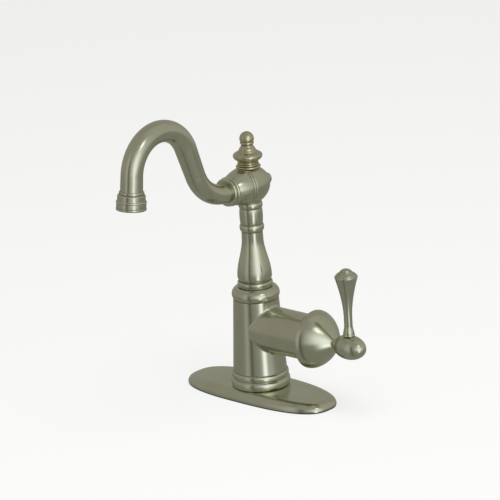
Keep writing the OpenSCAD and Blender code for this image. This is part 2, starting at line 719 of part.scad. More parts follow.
// The turning sleeve carries the lever stem on its pin, in a slot that lets it tilt
module rotor_sleeve() color(grey_plastic) on_handle_axis() difference() {
    union() {
        bore(case_in - 2 * run_gap, sleeve_from, case_shoulder - 2.4 - run_gap);
        bore(neck_in - 2 * run_gap, sleeve_from, sleeve_to);
    }
    translate([-12, -stem_w / 2 - 0.3, sleeve_from - 1]) cube([24, stem_w + 0.6, sleeve_to - sleeve_from + 2]);
    translate([0, 0, pivot_x]) rotate([90, 0, 0]) translate([0, 0, -20]) cylinder(d = pin_d + 2 * fit_gap, h = 40);
}

module pivot_pin() color(steel) on_handle_axis()
    translate([0, 0, pivot_x]) rotate([90, 0, 0]) translate([0, 0, -neck_in / 2 + 0.4]) cylinder(d = pin_d, h = neck_in - 0.8);

module lever_stem() color(raw_brass) on_handle_axis() difference() {
    union() {
        translate([-stem_w / 2, -stem_w / 2, pivot_x - stem_heel]) cube([stem_w, stem_w, stem_to - pivot_x + stem_heel]);
        bore(stem_ball_d - 1.6, stem_tip, pivot_x);
        translate([0, 0, stem_tip]) sphere(d = stem_ball_d);
    }
    translate([0, 0, pivot_x]) rotate([90, 0, 0]) translate([0, 0, -20]) cylinder(d = pin_d + 2 * run_gap, h = 40);
    // Thread of the stud that holds the bell and the ball
    bore(stud_thread_d + 2 * fit_gap, stem_to - stud_hold - 1, stem_to + 1);
}

// ---------- handle ----------

stud_thread_d = 4;
// How far the stud is screwed into the stem, and how far it ends before the middle of the ball
stud_hold = 7;
stud_short = 4;
lip_len = 1.4;
dome_from = rim_reach + lip_len + shoulder_len;
dome_power = 1.7;
tip_d = 8.8;
bell_tip = rim_reach + bell_len;
boss_d = 15;
boss_from = pivot_x + 9;
// The ball is cut off flat where it is about as wide as the bell's tip
egg_cut = 1;
egg_x = bell_tip + egg_len / 2 - egg_cut;
screw_x = pivot_x + 14;
screw_d = 4;
key_d = 2.3;
key_depth = 2.6;
screw_to = boss_d / 2 + 1.6;

// A shoulder that swells from radius r0 at height z0 to r1 at z1: a quarter of an ellipse
function swell_points(r0, z0, r1, z1, steps) =
    [for (i = [0:steps]) let (a = 90 * i / steps) [r0 + (r1 - r0) * sin(a), z1 + (z0 - z1) * cos(a)]];

// The bell: a rolled rim, a rounded shoulder and a dome that falls to the tip.
// inset draws it in towards the axis, and back from the rim by as much
module bell_shape(inset, to) turned(concat(
    [[0, rim_reach], [rim_d / 2 - inset, rim_reach]],
    inset == 0 ? bead_points(rim_d / 2, 0.5, rim_reach + 0.1, rim_reach + lip_len - 0.1, 8) : [],
    swell_points(rim_d / 2 - inset, rim_reach + lip_len + inset, bell_d / 2 - inset, dome_from + inset, 10),
    flare_points(bell_d / 2 - inset, dome_from + inset + 0.3, tip_d / 2 - inset, to, dome_power, 22),
    [[0, to]]));

module handle_bell() color(satin_nickel) on_handle_axis() difference() {
    union() {
        difference() {
            bell_shape(0, bell_tip);
            translate([0, 0, -0.01]) bell_shape(bell_wall, bell_tip - 2 * bell_wall);
        }
        intersection() {
            bore(boss_d, boss_from, bell_tip - 1);
            bell_shape(0.5, bell_tip - 0.5);
        }
    }
    // Square socket of the lever stem
    translate([-stem_w / 2 - fit_gap, -stem_w / 2 - fit_gap, boss_from - 1])
        cube([stem_w + 2 * fit_gap, stem_w + 2 * fit_gap, stem_to - boss_from + 1 + fit_gap]);
    bore(stud_thread_d + 2 * fit_gap, stem_to - 1, bell_tip + 1);
    // Set screw, from below
    translate([0, 0, screw_x]) rotate([0, 90, 0]) bore(screw_d + 2 * fit_gap, stem_w / 2 - 1, bell_d);
}

module set_screw() color(steel) on_handle_axis() translate([0, 0, screw_x]) rotate([0, 90, 0]) difference() {
    bore(screw_d, stem_w / 2 + fit_gap, screw_to);
    translate([0, 0, screw_to - key_depth]) cylinder(d = key_d, h = key_depth + 1, $fn = 6);
}

module ball_stud() color(steel) on_handle_axis() bore(stud_thread_d, stem_to - stud_hold, egg_x - stud_short);

module handle_ball() color(satin_nickel) difference() {
    on_handle_axis() difference() {
        translate([0, 0, egg_x]) intersection() {
            turned(egg_points(egg_len / 2, egg_d / 2, 0, 180, 32));
            bore(egg_d + 1, bell_tip + fit_gap - egg_x, egg_len);
        }
        bore(stud_thread_d + 2 * fit_gap, bell_tip - 1, egg_x - stud_short + slip_gap);
    }
    translate([egg_x, 0, axis_z]) bore(lever_tang_d + 2 * fit_gap, 0.5, egg_d);
}

lever_tang_d = 5;
lever_root = egg_d / 2 - 0.2;
slim_z = lever_h * 0.39;
head_z = lever_h * 0.9;
button_d = 8.4;
button_h = 1.8;

// The lever's origin is the middle of the ball
module on_ball() translate([egg_x, 0, axis_z]) children();

module lever() color(satin_nickel) on_ball() difference() {
    union() {
        turned(concat(
            [[0, lever_root], [lever_slim_d / 2 + 1.5, lever_root], [lever_slim_d / 2 + 1.6, lever_root + 0.8]],
            ease_points(lever_slim_d / 2 + 1.2, lever_root + 1.6, lever_slim_d / 2, lever_root + 9, 6),
            flare_points(lever_slim_d / 2, slim_z, lever_head_d / 2 - 0.2, head_z - 1, 1.75, 22),
            arc_points(lever_head_d / 2 - 1, head_z, 1, -20, 60, 4),
            ease_points(lever_head_d / 2 - 1, head_z + 1.2, button_d / 2 + 0.8, lever_h - button_h, 6),
            [[button_d / 2 + 0.3, lever_h - button_h - 0.3], [0, lever_h - button_h - 0.3]]));
        bore(lever_tang_d, 1, lever_root + 1);
    }
    bore(3, lever_h - button_h - 4, lever_h);
}

module lever_button() color(satin_nickel) on_ball() {
    turned(concat(
        [[0, lever_h - button_h - 0.3], [button_d / 2, lever_h - button_h - 0.3]],
        [for (i = [0:8]) let (t = 90 * i / 8)
            [button_d / 2 * cos(t), lever_h - button_h + button_h * sin(t)]]));
    bore(3 - 2 * fit_gap, lever_h - button_h - 3.6, lever_h - button_h);
}

// ---------- output ----------

plate_gasket();
deck_plate();
foot_seal();
valve_body();
inlet_block();
collar_nut();
thrust_washer();
spout_pillar();
spigot_seals();
spout_clip();
spout_hub();
hub_rear_cap();
hub_front_ring();
spout_tube();
outlet_collar();
aerator_washer();
aerator_insert();
aerator_shell();
finial_washer();
finial();
port_seals();
cartridge_base();
fixed_disc();
moving_disc();
disc_carrier();
cartridge_case();
cartridge_nut();
rotor_sleeve();
pivot_pin();
lever_stem();
handle_bell();
set_screw();
ball_stud();
handle_ball();
lever();
lever_button();
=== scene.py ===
# %% [markdown]
# # A gooseneck bar faucet in satin nickel
# The real object is a set of brass castings and turnings, plated with nickel and brushed round
# their own axes. Every visible piece here is a turned outline or a section carried along a path,
# so the scene is built from a few profile rules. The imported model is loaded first, because it
# fixes where each piece sits and how it moves.

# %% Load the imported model
import json
import math

import bpy
import numpy as np
from mathutils import Matrix, Vector


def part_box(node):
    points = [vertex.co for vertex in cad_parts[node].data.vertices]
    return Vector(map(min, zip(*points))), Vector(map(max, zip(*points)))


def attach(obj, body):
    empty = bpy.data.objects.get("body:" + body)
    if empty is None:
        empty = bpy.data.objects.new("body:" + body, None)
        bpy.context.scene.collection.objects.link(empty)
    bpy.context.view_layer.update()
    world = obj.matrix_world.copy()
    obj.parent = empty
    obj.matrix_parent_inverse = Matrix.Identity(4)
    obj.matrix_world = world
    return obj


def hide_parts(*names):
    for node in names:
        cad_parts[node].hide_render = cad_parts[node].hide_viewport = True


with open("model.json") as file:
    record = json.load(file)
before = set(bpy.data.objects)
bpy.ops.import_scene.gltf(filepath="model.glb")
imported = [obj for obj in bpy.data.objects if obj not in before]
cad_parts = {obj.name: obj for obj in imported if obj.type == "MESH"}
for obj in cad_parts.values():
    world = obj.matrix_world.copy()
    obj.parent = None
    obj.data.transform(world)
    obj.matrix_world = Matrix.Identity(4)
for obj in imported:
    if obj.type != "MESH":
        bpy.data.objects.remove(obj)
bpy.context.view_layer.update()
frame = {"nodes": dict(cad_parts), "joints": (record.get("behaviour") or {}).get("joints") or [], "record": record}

MM = 0.001
BODIES = frame["record"]["behaviour"]["bodies"]
BODY_OF = {node: body for body, members in BODIES.items() for node in members}
SLOT_OF = {part["node"]: part["material_slot"] for part in frame["record"]["subparts"]}
JOINT_AT = {joint["name"]: np.array(joint["pos_m"]) / MM for joint in frame["joints"]}


def box(node):
    """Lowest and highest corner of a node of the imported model, in millimetres."""
    low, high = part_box(node)
    return np.array(low) / MM, np.array(high) / MM


# %% [markdown]
# ## Camera
# The photograph was taken from well to the right of the spout and a little above the faucet, with
# a long lens, since the edges of the body hardly converge. Such a view could be dialled in by hand,
# but fitting the plate's outline and the two main axes gives the angles below. The small roll
# leans the pillar as the photograph does.

# %% Camera at the photograph's angle
AZIMUTH, ELEVATION, ROLL = math.radians(43.36), math.radians(17.39), math.radians(-3.41)
DISTANCE = 3.03996
AIM = Vector((-0.00383, 0.0, 0.13147))
SENSOR = 36.0
PIXELS = 500
FOCAL_PIXELS = 3500.0


def bearing_vector(azimuth, elevation):
    """The direction from the object to a place at this azimuth and elevation, azimuth 0 being the front."""
    return Vector((math.sin(azimuth) * math.cos(elevation), -math.cos(azimuth) * math.cos(elevation),
                   math.sin(elevation)))


back = bearing_vector(AZIMUTH, ELEVATION)
level_right = Vector((math.cos(AZIMUTH), math.sin(AZIMUTH), 0.0))
level_up = back.cross(level_right)
right = math.cos(ROLL) * level_right + math.sin(ROLL) * level_up
up = -math.sin(ROLL) * level_right + math.cos(ROLL) * level_up
camera = bpy.data.objects.new("camera", bpy.data.cameras.new("camera"))
bpy.context.scene.collection.objects.link(camera)
camera.data.sensor_width = SENSOR
camera.data.lens = FOCAL_PIXELS / PIXELS * SENSOR
camera.data.clip_end = 50.0
facing = Matrix((right, up, back)).transposed().to_4x4()
camera.matrix_world = Matrix.Translation(AIM + back * DISTANCE) @ facing
bpy.context.scene.camera = camera
bpy.context.scene.view_settings.view_transform = "Standard"
print("camera at", [round(v, 3) for v in camera.location], "lens", camera.data.lens)

# %% [markdown]
# ## Shader arithmetic
# A finish is a formula over the surface, and a node tree is a slow way to write one. This class
# wraps a socket and overloads the operators, so that each sum in Python adds its Math node.
# Every other node comes from one method, which takes the node's type, settings and sockets.

# %% A socket that takes part in sums
class Value:
    """A number socket. Sums, products and powers of it add Math nodes."""

    def __init__(self, nodes, socket):
        self.nodes = nodes
        self.socket = socket

    def sum_with(self, operation, first, second):
        """One Math node with these two terms."""
        return self.nodes.add("Math", {"operation": operation}, {0: first, 1: second})

    def __add__(self, other):
        return self.sum_with("ADD", self, other)

    def __radd__(self, other):
        return self.sum_with("ADD", other, self)

    def __sub__(self, other):
        return self.sum_with("SUBTRACT", self, other)

    def __rsub__(self, other):
        return self.sum_with("SUBTRACT", other, self)

    def __mul__(self, other):
        return self.sum_with("MULTIPLY", self, other)

    def __rmul__(self, other):
        return self.sum_with("MULTIPLY", other, self)

    def __truediv__(self, other):
        return self.sum_with("DIVIDE", self, other)

    def __neg__(self):
        return self.sum_with("MULTIPLY", self, -1.0)


class Nodes:
    """The node tree of one material, or of the world."""

    def __init__(self, owner):
        owner.use_nodes = True
        self.tree = owner.node_tree
        self.tree.nodes.clear()

    def add(self, kind, settings=None, sockets=None, output=0):
        """One node: its settings are set first, then the values or links of its sockets."""
        node = self.tree.nodes.new("ShaderNode" + kind)
        for name, value in (settings or {}).items():
            if name == "stops":
                ramp = node.color_ramp
                while len(ramp.elements) < len(value):
                    ramp.elements.new(0.5)
                for element, (place, colour) in zip(ramp.elements, value):
                    element.position = place
                    element.color = (*colour, 1.0)
            else:
                setattr(node, name, value)
        for name, value in (sockets or {}).items():
            if isinstance(value, Value):
                self.tree.links.new(value.socket, node.inputs[name])
            else:
                node.inputs[name].default_value = value
        return Value(self, node.outputs[output]) if node.outputs else None

    def outputs(self, kind, *names, **sockets):
        """Several outputs of one node."""
        made = self.add(kind, sockets=sockets).socket.node
        return [Value(self, made.outputs[name]) for name in names]

    def split(self, vector):
        """The three numbers of a vector."""
        return self.outputs("SeparateXYZ", "X", "Y", "Z", Vector=vector)

    def vector(self, x, y, z):
        return self.add("CombineXYZ", sockets={0: x, 1: y, 2: z})

    def noise(self, place, scale, detail, roughness):
        """Soft noise from 0 to 1 at a place."""
        return self.add("TexNoise", {"noise_dimensions": "3D"},
                        {"Vector": place, "Scale": scale, "Detail": detail, "Roughness": roughness})

    def smooth(self, value, low, high):
        """0 below low, 1 above high, and an even S between them."""
        return self.add("MapRange", {"interpolation_type": "SMOOTHSTEP", "clamp": True},
                        {"Value": value, "From Min": low, "From Max": high})

    def hill(self, value, centre, width):
        """A bell curve: e to the power of minus the square of the distance from centre over width."""
        far = (value - centre) / width
        return self.add("Math", {"operation": "EXPONENT"}, {0: -(far * far)})

    def mix(self, share, first, second):
        """A colour between first and second."""
        return self.add("Mix", {"data_type": "RGBA"}, {0: share, 6: first, 7: second}, output=2)

    def bump(self, height, distance, strength):
        """A normal that leans with a height, in metres."""
        return self.add("Bump", sockets={"Height": height, "Distance": distance, "Strength": strength})


print("shader arithmetic is ready")

# %% [markdown]
# ## Studio
# Satin metal shows little of its own colour: what the eye reads is the room, drawn out round each
# turning. The photograph shows a dim room that is lighter above a sill. A narrow bright window
# stands low to the right of the camera, with a wide glow above it and weaker windows further out,
# and a dark upright stands to the left. Lamps could stand in for each, but a room painted by
# direction in the world gives the same streaks and stays free of noise.
# The floor and the air behind are white to the camera. Reflections get a small share of that
# white too: all of it would wash out the windows that the metal is meant to show.

# %% The room, painted by direction
scene = bpy.context.scene
world = bpy.data.worlds.new("studio")
scene.world = world
room = Nodes(world)
east, north, height = room.split(room.add("TexCoord"))
bearing = room.add("Math", {"operation": "ARCTAN2"}, {0: east, 1: -north}) * (180 / math.pi)
aside = bearing - math.degrees(AZIMUTH)
above = room.add("Math", {"operation": "ARCSINE"}, {0: height}) * (180 / math.pi)

# Brightness of the walls below and above the sill.
LOW_WALLS, HIGH_WALLS = 0.25, 0.34
# Places and widths are angles aside from the camera, in degrees.
RIGHT_WALL = dict(aside=85.0, width=60.0, gain=0.12)
WINDOW = dict(aside=22.0, width=8.5, gain=2.1)
SIDE_WINDOW = dict(aside=-54.0, width=11.0, gain=0.22)
FAR_WINDOW = dict(aside=50.0, width=12.0, gain=0.22)
GLOW = dict(aside=25.0, width=28.0, gain=1.1)
UPRIGHT = dict(aside=-34.0, width=6.5, gain=0.80)
WHITE_SHARE = 0.06
# Elevations in degrees between which each thing sets in or fades out.
SILL, FLOOR_FADE, WINDOW_FADE = (-15.0, -1.0), (-40.0, -16.0), (-17.0, -1.0)
CEILING_FADE, GLOW_FADE, UPRIGHT_FADE = (28.0, 50.0), (10.0, 54.0), (20.0, 45.0)


def opening(window):
    """How bright the room is at one window: a bell curve across it, times its gain."""
    return room.hill(aside, window["aside"], window["width"]) * window["gain"]


above_sill = room.smooth(above, *SILL)
tall = room.smooth(above, *FLOOR_FADE) * (1.0 - room.smooth(above, *CEILING_FADE))
low = tall * (1.0 - room.smooth(above, *WINDOW_FADE))
high = above_sill * (1.0 - room.smooth(above, *GLOW_FADE))
windows = (opening(WINDOW) + opening(FAR_WINDOW)) * low + opening(SIDE_WINDOW) * tall + opening(GLOW) * high
upright = opening(UPRIGHT) * (1.0 - room.smooth(above, *UPRIGHT_FADE))
walls = LOW_WALLS + above_sill * (opening(RIGHT_WALL) + (HIGH_WALLS - LOW_WALLS))
level = (walls + windows) * (1.0 - upright)
print("walls and windows take", len(room.tree.nodes), "nodes")

# %% The room's colours, and white for the camera
WHITE = (1.0, 1.0, 1.0, 1.0)
WALL_TINT, DAY_TINT, DARK_TINT = (1.0, 0.99, 0.88), (0.94, 1.0, 1.13), (1.0, 0.93, 0.76)
daylight = room.mix(windows / (walls + windows), (*WALL_TINT, 1.0), (*DAY_TINT, 1.0))
tint = room.mix(upright, daylight, (*DARK_TINT, 1.0))
seen_room = room.add("Background", sockets={"Color": tint, "Strength": level})
white_air = room.add("Background", sockets={"Color": WHITE, "Strength": 1.0})
is_camera, is_glossy, is_through = room.outputs(
    "LightPath", "Is Camera Ray", "Is Glossy Ray", "Is Transmission Ray")
white_part = is_camera + (is_glossy + is_through) * WHITE_SHARE
both = room.add("MixShader", sockets={0: white_part, 1: seen_room, 2: white_air})
room.add("OutputWorld", sockets={"Surface": both})
print("with its colours the room takes", len(room.tree.nodes), "nodes")

# %% Floor and soft lamps
FLOOR_HALF = 6.0
FLOOR_DROP = 0.0002
FLOOR_GLOW = 0.72
PAPER = (0.9, 0.9, 0.9, 1.0)
floor_mesh = bpy.data.meshes.new("floor")
corners = [(x * FLOOR_HALF, y * FLOOR_HALF, -FLOOR_DROP) for x, y in ((-1, -1), (1, -1), (1, 1), (-1, 1))]
floor_mesh.from_pydata(corners, [], [(0, 1, 2, 3)])
floor = bpy.data.objects.new("floor", floor_mesh)
scene.collection.objects.link(floor)
floor.visible_glossy = False
floor.visible_shadow = False
paper = bpy.data.materials.new("white_paper")
sheet = Nodes(paper)
lit = sheet.add("BsdfDiffuse", sockets={"Color": PAPER})
glow = sheet.add("Emission", sockets={"Color": WHITE, "Strength": 1.0})
[seen] = sheet.outputs("LightPath", "Is Camera Ray")
pale = sheet.add("MixShader", sockets={0: seen * FLOOR_GLOW, 1: lit, 2: glow})
sheet.add("OutputMaterial", sockets={"Surface": pale})
floor_mesh.materials.append(paper)


def soft_lamp(name, azimuth, elevation, distance, size, power, glossy):
    """A square soft lamp that looks at the middle of the faucet."""
    data = bpy.data.lights.new(name, "AREA")
    data.size = size
    data.energy = power
    lamp = bpy.data.objects.new(name, data)
    scene.collection.objects.link(lamp)
    towards = bearing_vector(AZIMUTH + math.radians(azimuth), math.radians(elevation))
    lamp.location = AIM + towards * distance
    lamp.rotation_mode = "QUATERNION"
    lamp.rotation_quaternion = towards.to_track_quat("Z", "Y")
    lamp.visible_glossy = glossy


soft_lamp("overhead", azimuth=10.0, elevation=68.0, distance=1.8, size=1.1, power=22.0, glossy=False)
soft_lamp("key", azimuth=35.0, elevation=42.0, distance=2.2, size=0.5, power=1.5, glossy=True)
print("studio is lit")

# %% [markdown]
# ## Finishes
# Satin nickel is a plated brass that was brushed while it turned, so its fine scratches run round
# each piece. Each turned mesh carries a "brush" attribute: the angle round the piece and the length
# along its outline. Noise that is stretched round the turning gives the scratches their direction
# without any seam. A second attribute says how hollow or proud the outline is: hollows are painted
# dark, as painted shade with some tarnish, and proud edges are rubbed bright.

# %% Satin nickel
ROUND_GRAIN, LONG_GRAIN = 1.6, 2.2
FINE_ROUND, FINE_LONG = 5.0, 9.0
CLOUD_SCALE = 38.0
SCRATCH_DEPTH, SCRATCH_STRENGTH = 0.000012, 0.12


def attribute(nodes, name, output):
    """One of the attributes that a piece's mesh carries."""
    return nodes.add("Attribute", {"attribute_type": "GEOMETRY", "attribute_name": name}, output=output)


def nickel(name, light, dark, shade_and_patina, gloss):
    """Brushed plating: light and dark are its colour range; the third colour darkens the hollows, as painted shade
    with some tarnish.
    """
    material = bpy.data.materials.new(name)
    nodes = Nodes(material)
    round_x, round_y, along = nodes.split(attribute(nodes, "brush", "Vector"))
    wear = attribute(nodes, "wear", "Fac")
    # Painted shade: hollows of the outline are darkened towards the third colour.
    hollow = nodes.smooth(wear, 0.04, 0.34)
    proud = nodes.smooth(-wear, 0.05, 0.30)
    coarse_place = nodes.vector(round_x * ROUND_GRAIN, round_y * ROUND_GRAIN, along * LONG_GRAIN)
    scratches = nodes.noise(coarse_place, 1.0, 3.0, 0.7)
    fine_place = nodes.vector(round_x * FINE_ROUND, round_y * FINE_ROUND, along * FINE_LONG)
    fine = nodes.noise(fine_place, 1.0, 2.0, 0.6)
    cloud = nodes.noise(nodes.add("TexCoord", output="Object"), CLOUD_SCALE, 3.0, 0.55)
    tone = (scratches - 0.5) * 0.35 + (cloud - 0.5) * 0.8 + (fine - 0.5) * 0.15 + 0.5
    plated = nodes.mix(nodes.smooth(tone, 0.15, 0.85), (*dark, 1.0), (*light, 1.0))
    rubbed = nodes.mix(proud * 0.35, plated, (*[min(1.0, c * 1.18) for c in light], 1.0))
    # Painted shade in the hollows, with some tarnish there.
    colour = nodes.mix(hollow * 0.8, rubbed, (*shade_and_patina, 1.0))
    rough = gloss + (scratches - 0.5) * 0.10 + (cloud - 0.5) * 0.06 + hollow * 0.18 - proud * 0.04
    relief = nodes.bump(scratches * 0.8 + fine * 0.2, SCRATCH_DEPTH, SCRATCH_STRENGTH)
    shader = nodes.add("BsdfPrincipled", sockets={
        "Base Color": colour, "Metallic": 1.0, "Roughness": rough, "Normal": relief})
    nodes.add("OutputMaterial", sockets={"Surface": shader})
    return material


# The third colour of each finish is the painted shade in hollows, with some tarnish.
SATIN = nickel("satin_nickel", (0.60, 0.605, 0.475), (0.53, 0.525, 0.395), (0.15, 0.135, 0.085), 0.20)
WARM = nickel("warm_nickel", (0.59, 0.57, 0.40), (0.51, 0.48, 0.31), (0.16, 0.13, 0.075), 0.19)
print("two nickel finishes are ready")

# %% [markdown]
# The pieces inside are brass, steel, rubber, acetal and ceramic. They show only when the faucet is
# seen from below or taken apart, but each still gets the grain that its making leaves: turning
# lines on metal, a fine pebble on moulded plastic, and lapped smoothness on the discs.

# %% Finishes of the inner pieces
def plain_finish(name, light, dark, metallic, rough, grain_scale, grain_depth, spread):
    """A grainy finish on object coordinates: noise moves the colour, the roughness and the height."""
    material = bpy.data.materials.new(name)
    nodes = Nodes(material)
    place = nodes.add("TexCoord", output="Object")
    grain = nodes.noise(place, grain_scale, 3.0, 0.6)
    cloud = nodes.noise(place, 55.0, 2.0, 0.5)
    colour = nodes.mix(nodes.smooth(cloud * 0.7 + grain * 0.3, 0.3, 0.7), (*dark, 1.0), (*light, 1.0))
    relief = nodes.bump(grain, grain_depth, 0.5)
    shader = nodes.add("BsdfPrincipled", sockets={
        "Base Color": colour, "Metallic": metallic, "Roughness": rough + (grain - 0.5) * spread,
        "Normal": relief})
    nodes.add("OutputMaterial", sockets={"Surface": shader})
    return material


# Light and dark colour, metallic, roughness, grain scale, grain depth in metres, spread of roughness.
PLAIN = {
    "brass": ((0.78, 0.60, 0.30), (0.66, 0.49, 0.23), 1.0, 0.30, 900.0, 0.00003, 0.2),
    "steel": ((0.68, 0.68, 0.68), (0.56, 0.56, 0.57), 1.0, 0.28, 1100.0, 0.00002, 0.2),
    "rubber": ((0.045, 0.045, 0.047), (0.025, 0.025, 0.026), 0.0, 0.62, 1600.0, 0.00004, 0.2),
    "white_plastic": ((0.82, 0.82, 0.79), (0.76, 0.76, 0.72), 0.0, 0.38, 2200.0, 0.00002, 0.12),
    "grey_plastic": ((0.36, 0.37, 0.39), (0.30, 0.31, 0.33), 0.0, 0.42, 2200.0, 0.00002, 0.12),
    "disc_ceramic": ((0.90, 0.88, 0.83), (0.85, 0.83, 0.77), 0.0, 0.14, 700.0, 0.00001, 0.05),
}
FINISH = {"satin_nickel": SATIN, "warm_nickel": WARM}
FINISH.update({name: plain_finish(name, *values) for name, values in PLAIN.items()})
print(len(FINISH), "finishes")

# %% [markdown]
# ## Outlines
# A turner thinks of a profile as a run of beads, coves and flares. The functions below give each
# of these as points of radius and height, in millimetres. The whole outline is then walked in even
# steps, which leaves a fine, equal spacing for smooth shading and rounds each corner by a hair,
# as a buffing wheel does.

# %% Beads, coves and flares
STEP, FINE_STEP, FINEST_STEP = 0.26, 0.2, 0.15


def arc(centre_r, centre_h, radius, start, stop):
    """A circular arc about (centre_r, centre_h), from one angle to another in degrees."""
    angle = np.radians(np.linspace(start, stop, 25))
    return np.column_stack([centre_r + radius * np.cos(angle), centre_h + radius * np.sin(angle)])


def ease(r0, h0, r1, h1):
    """An even S from one radius to another: half a cosine wave over the height."""
    t = np.linspace(0, 1, 33)
    return np.column_stack([r0 + (r1 - r0) * (1 - np.cos(np.pi * t)) / 2, h0 + (h1 - h0) * t])


def flare(r0, h0, r1, h1, power):
    """A flare that leaves r0 straight and opens with the given power of the height."""
    t = np.linspace(0, 1, 49)
    return np.column_stack([r0 + (r1 - r0) * t ** power, h0 + (h1 - h0) * t])


def swell(r0, h0, r1, h1):
    """A shoulder that swells from r0 at h0 to r1 at h1: a quarter of an ellipse."""
    angle = np.pi / 2 * np.linspace(0, 1, 33)
    return np.column_stack([r0 + (r1 - r0) * np.sin(angle), h1 + (h0 - h1) * np.cos(angle)])


def bead(r, bulge, h0, h1):
    """A rounded bead between two heights: half an ellipse, proud of radius r by bulge."""
    angle = np.pi * np.linspace(0, 1, 25)
    return np.column_stack([r + bulge * np.sin(angle), (h0 + h1) / 2 - (h1 - h0) / 2 * np.cos(angle)])


def points(*pairs):
    """Corners of an outline, each a radius and a height."""
    return np.array(pairs, float)


def even(*pieces, step=STEP):
    """The pieces as one outline, walked in equal steps: the running length is cut evenly."""
    line = np.vstack(pieces)
    along = np.append(0, np.cumsum(np.hypot(*np.diff(line, axis=0).T)))
    cuts = np.linspace(0, along[-1], int(np.ceil(along[-1] / step)) + 1)
    return np.column_stack([np.interp(cuts, along, line[:, k]) for k in (0, 1)])


HOLLOW_REACH = 1.1


def hollowness(line):
    """How far the outline lies inside its own smoothed copy, in millimetres: above 0 in hollows.
    The copy is each coordinate averaged along the outline under a bell curve, which is HOLLOW_REACH
    wide at the usual step and narrower at the finer ones."""
    spread = int(np.ceil(3 * HOLLOW_REACH / STEP))
    if len(line) <= spread + 1:
        return np.zeros(len(line))
    offsets = np.arange(-spread, spread + 1)
    weights = np.exp(-0.5 * (offsets * STEP / HOLLOW_REACH) ** 2)
    weights /= weights.sum()
    padded = np.vstack([2 * line[0] - line[spread:0:-1], line, 2 * line[-1] - line[-2:-spread - 2:-1]])
    copy = np.column_stack([np.convolve(padded[:, k], weights, "valid") for k in (0, 1)])
    run = np.gradient(line, axis=0)
    outward = np.column_stack([run[:, 1], -run[:, 0]]) / np.maximum(np.hypot(*run.T), 1e-9)[:, None]
    return ((copy - line) * outward).sum(1)


print("outline rules are ready, steps of", STEP, "mm")

# %% [markdown]
# ## From a grid to a mesh
# Every surface below is a grid: rows along the outline or path, columns round it. One function
# stitches such a grid into a closed mesh of quads, with triangles where a row shrinks to a pole,
# and writes the two attributes that the finish reads. Whole arrays go into the mesh at once.

# %% From a grid to a mesh
TINY = 1e-6
SHARP = math.radians(52)


def read_points(mesh):
    """The mesh's vertices in millimetres, one row each."""
    co = np.empty(len(mesh.vertices) * 3, np.float32)
    mesh.vertices.foreach_get("co", co)
    return co.reshape(-1, 3) / MM


def write_fields(mesh, brush, wear):
    """Store the two attributes that the finish reads, in place of any older ones."""
    fields = (("brush", "FLOAT_VECTOR", "vector", brush), ("wear", "FLOAT", "value", wear))
    for name, kind, field, values in fields:
        old = mesh.attributes.get(name)
        if old:
            mesh.attributes.remove(old)
        made = mesh.attributes.new(name, kind, "POINT")
        made.data.foreach_set(field, values.astype(np.float32).ravel())


def shade_smooth(mesh):
    """Smooth shading, broken only where two faces meet at more than the sharp angle."""
    mesh.polygons.foreach_set("use_smooth", np.ones(len(mesh.polygons), bool))
    mesh.set_sharp_from_angle(angle=SHARP)
    mesh.update()


def mesh_from_grid(name, grid, brush, wear, ring):
    """grid is rows x columns x 3 in millimetres. Columns always wrap; rows wrap if ring is true.
    A row whose points coincide becomes one vertex, and its quads become triangles."""
    rows, columns = grid.shape[:2]
    index = np.arange(rows * columns).reshape(rows, columns)
    pole = np.ptp(grid, axis=1).max(axis=1) < TINY
    index[pole] = index[pole][:, :1]
    low = index if ring else index[:-1]
    high = np.roll(index, -1, axis=0) if ring else index[1:]
    quads = np.stack([low, np.roll(low, -1, 1), np.roll(high, -1, 1), high], -1).reshape(-1, 4)
    flat_low = quads[:, 0] == quads[:, 1]
    flat_high = quads[:, 2] == quads[:, 3]
    triangles = np.vstack([quads[flat_low & ~flat_high][:, [0, 2, 3]],
                           quads[flat_high & ~flat_low][:, [0, 1, 2]]])
    quads = quads[~flat_low & ~flat_high]
    used, renumbered = np.unique(np.concatenate([quads.ravel(), triangles.ravel()]), return_inverse=True)
    mesh = bpy.data.meshes.new(name)
    mesh.vertices.add(len(used))
    mesh.vertices.foreach_set("co", (grid.reshape(-1, 3)[used] * MM).astype(np.float32).ravel())
    mesh.loops.add(len(renumbered))
    mesh.loops.foreach_set("vertex_index", renumbered.astype(np.int32))
    starts = np.concatenate([np.arange(len(quads)) * 4, len(quads) * 4 + np.arange(len(triangles)) * 3])
    mesh.polygons.add(len(starts))
    mesh.polygons.foreach_set("loop_start", starts.astype(np.int32))
    mesh.update(calc_edges=True)
    write_fields(mesh, brush.reshape(-1, 3)[used], wear.reshape(-1)[used])
    shade_smooth(mesh)
    made = bpy.data.objects.new(name, mesh)
    scene.collection.objects.link(made)
    return made


print("smooth up to", round(math.degrees(SHARP)), "degrees")

# %% Lathe
COLUMNS = 144
ORIGIN = (0.0, 0.0, 0.0)
UP = (0.0, 0.0, 1.0)


def axes(direction):
    """A turning frame whose third axis points along direction. Its columns are the three axes."""
    third = np.array(direction, float) / np.linalg.norm(direction)
    helper = np.array([0.0, 1.0, 0.0]) if abs(third[1]) < 0.9 else np.array([1.0, 0.0, 0.0])
    first = np.cross(helper, third)
    first /= np.linalg.norm(first)
    return np.column_stack([first, np.cross(third, first), third])


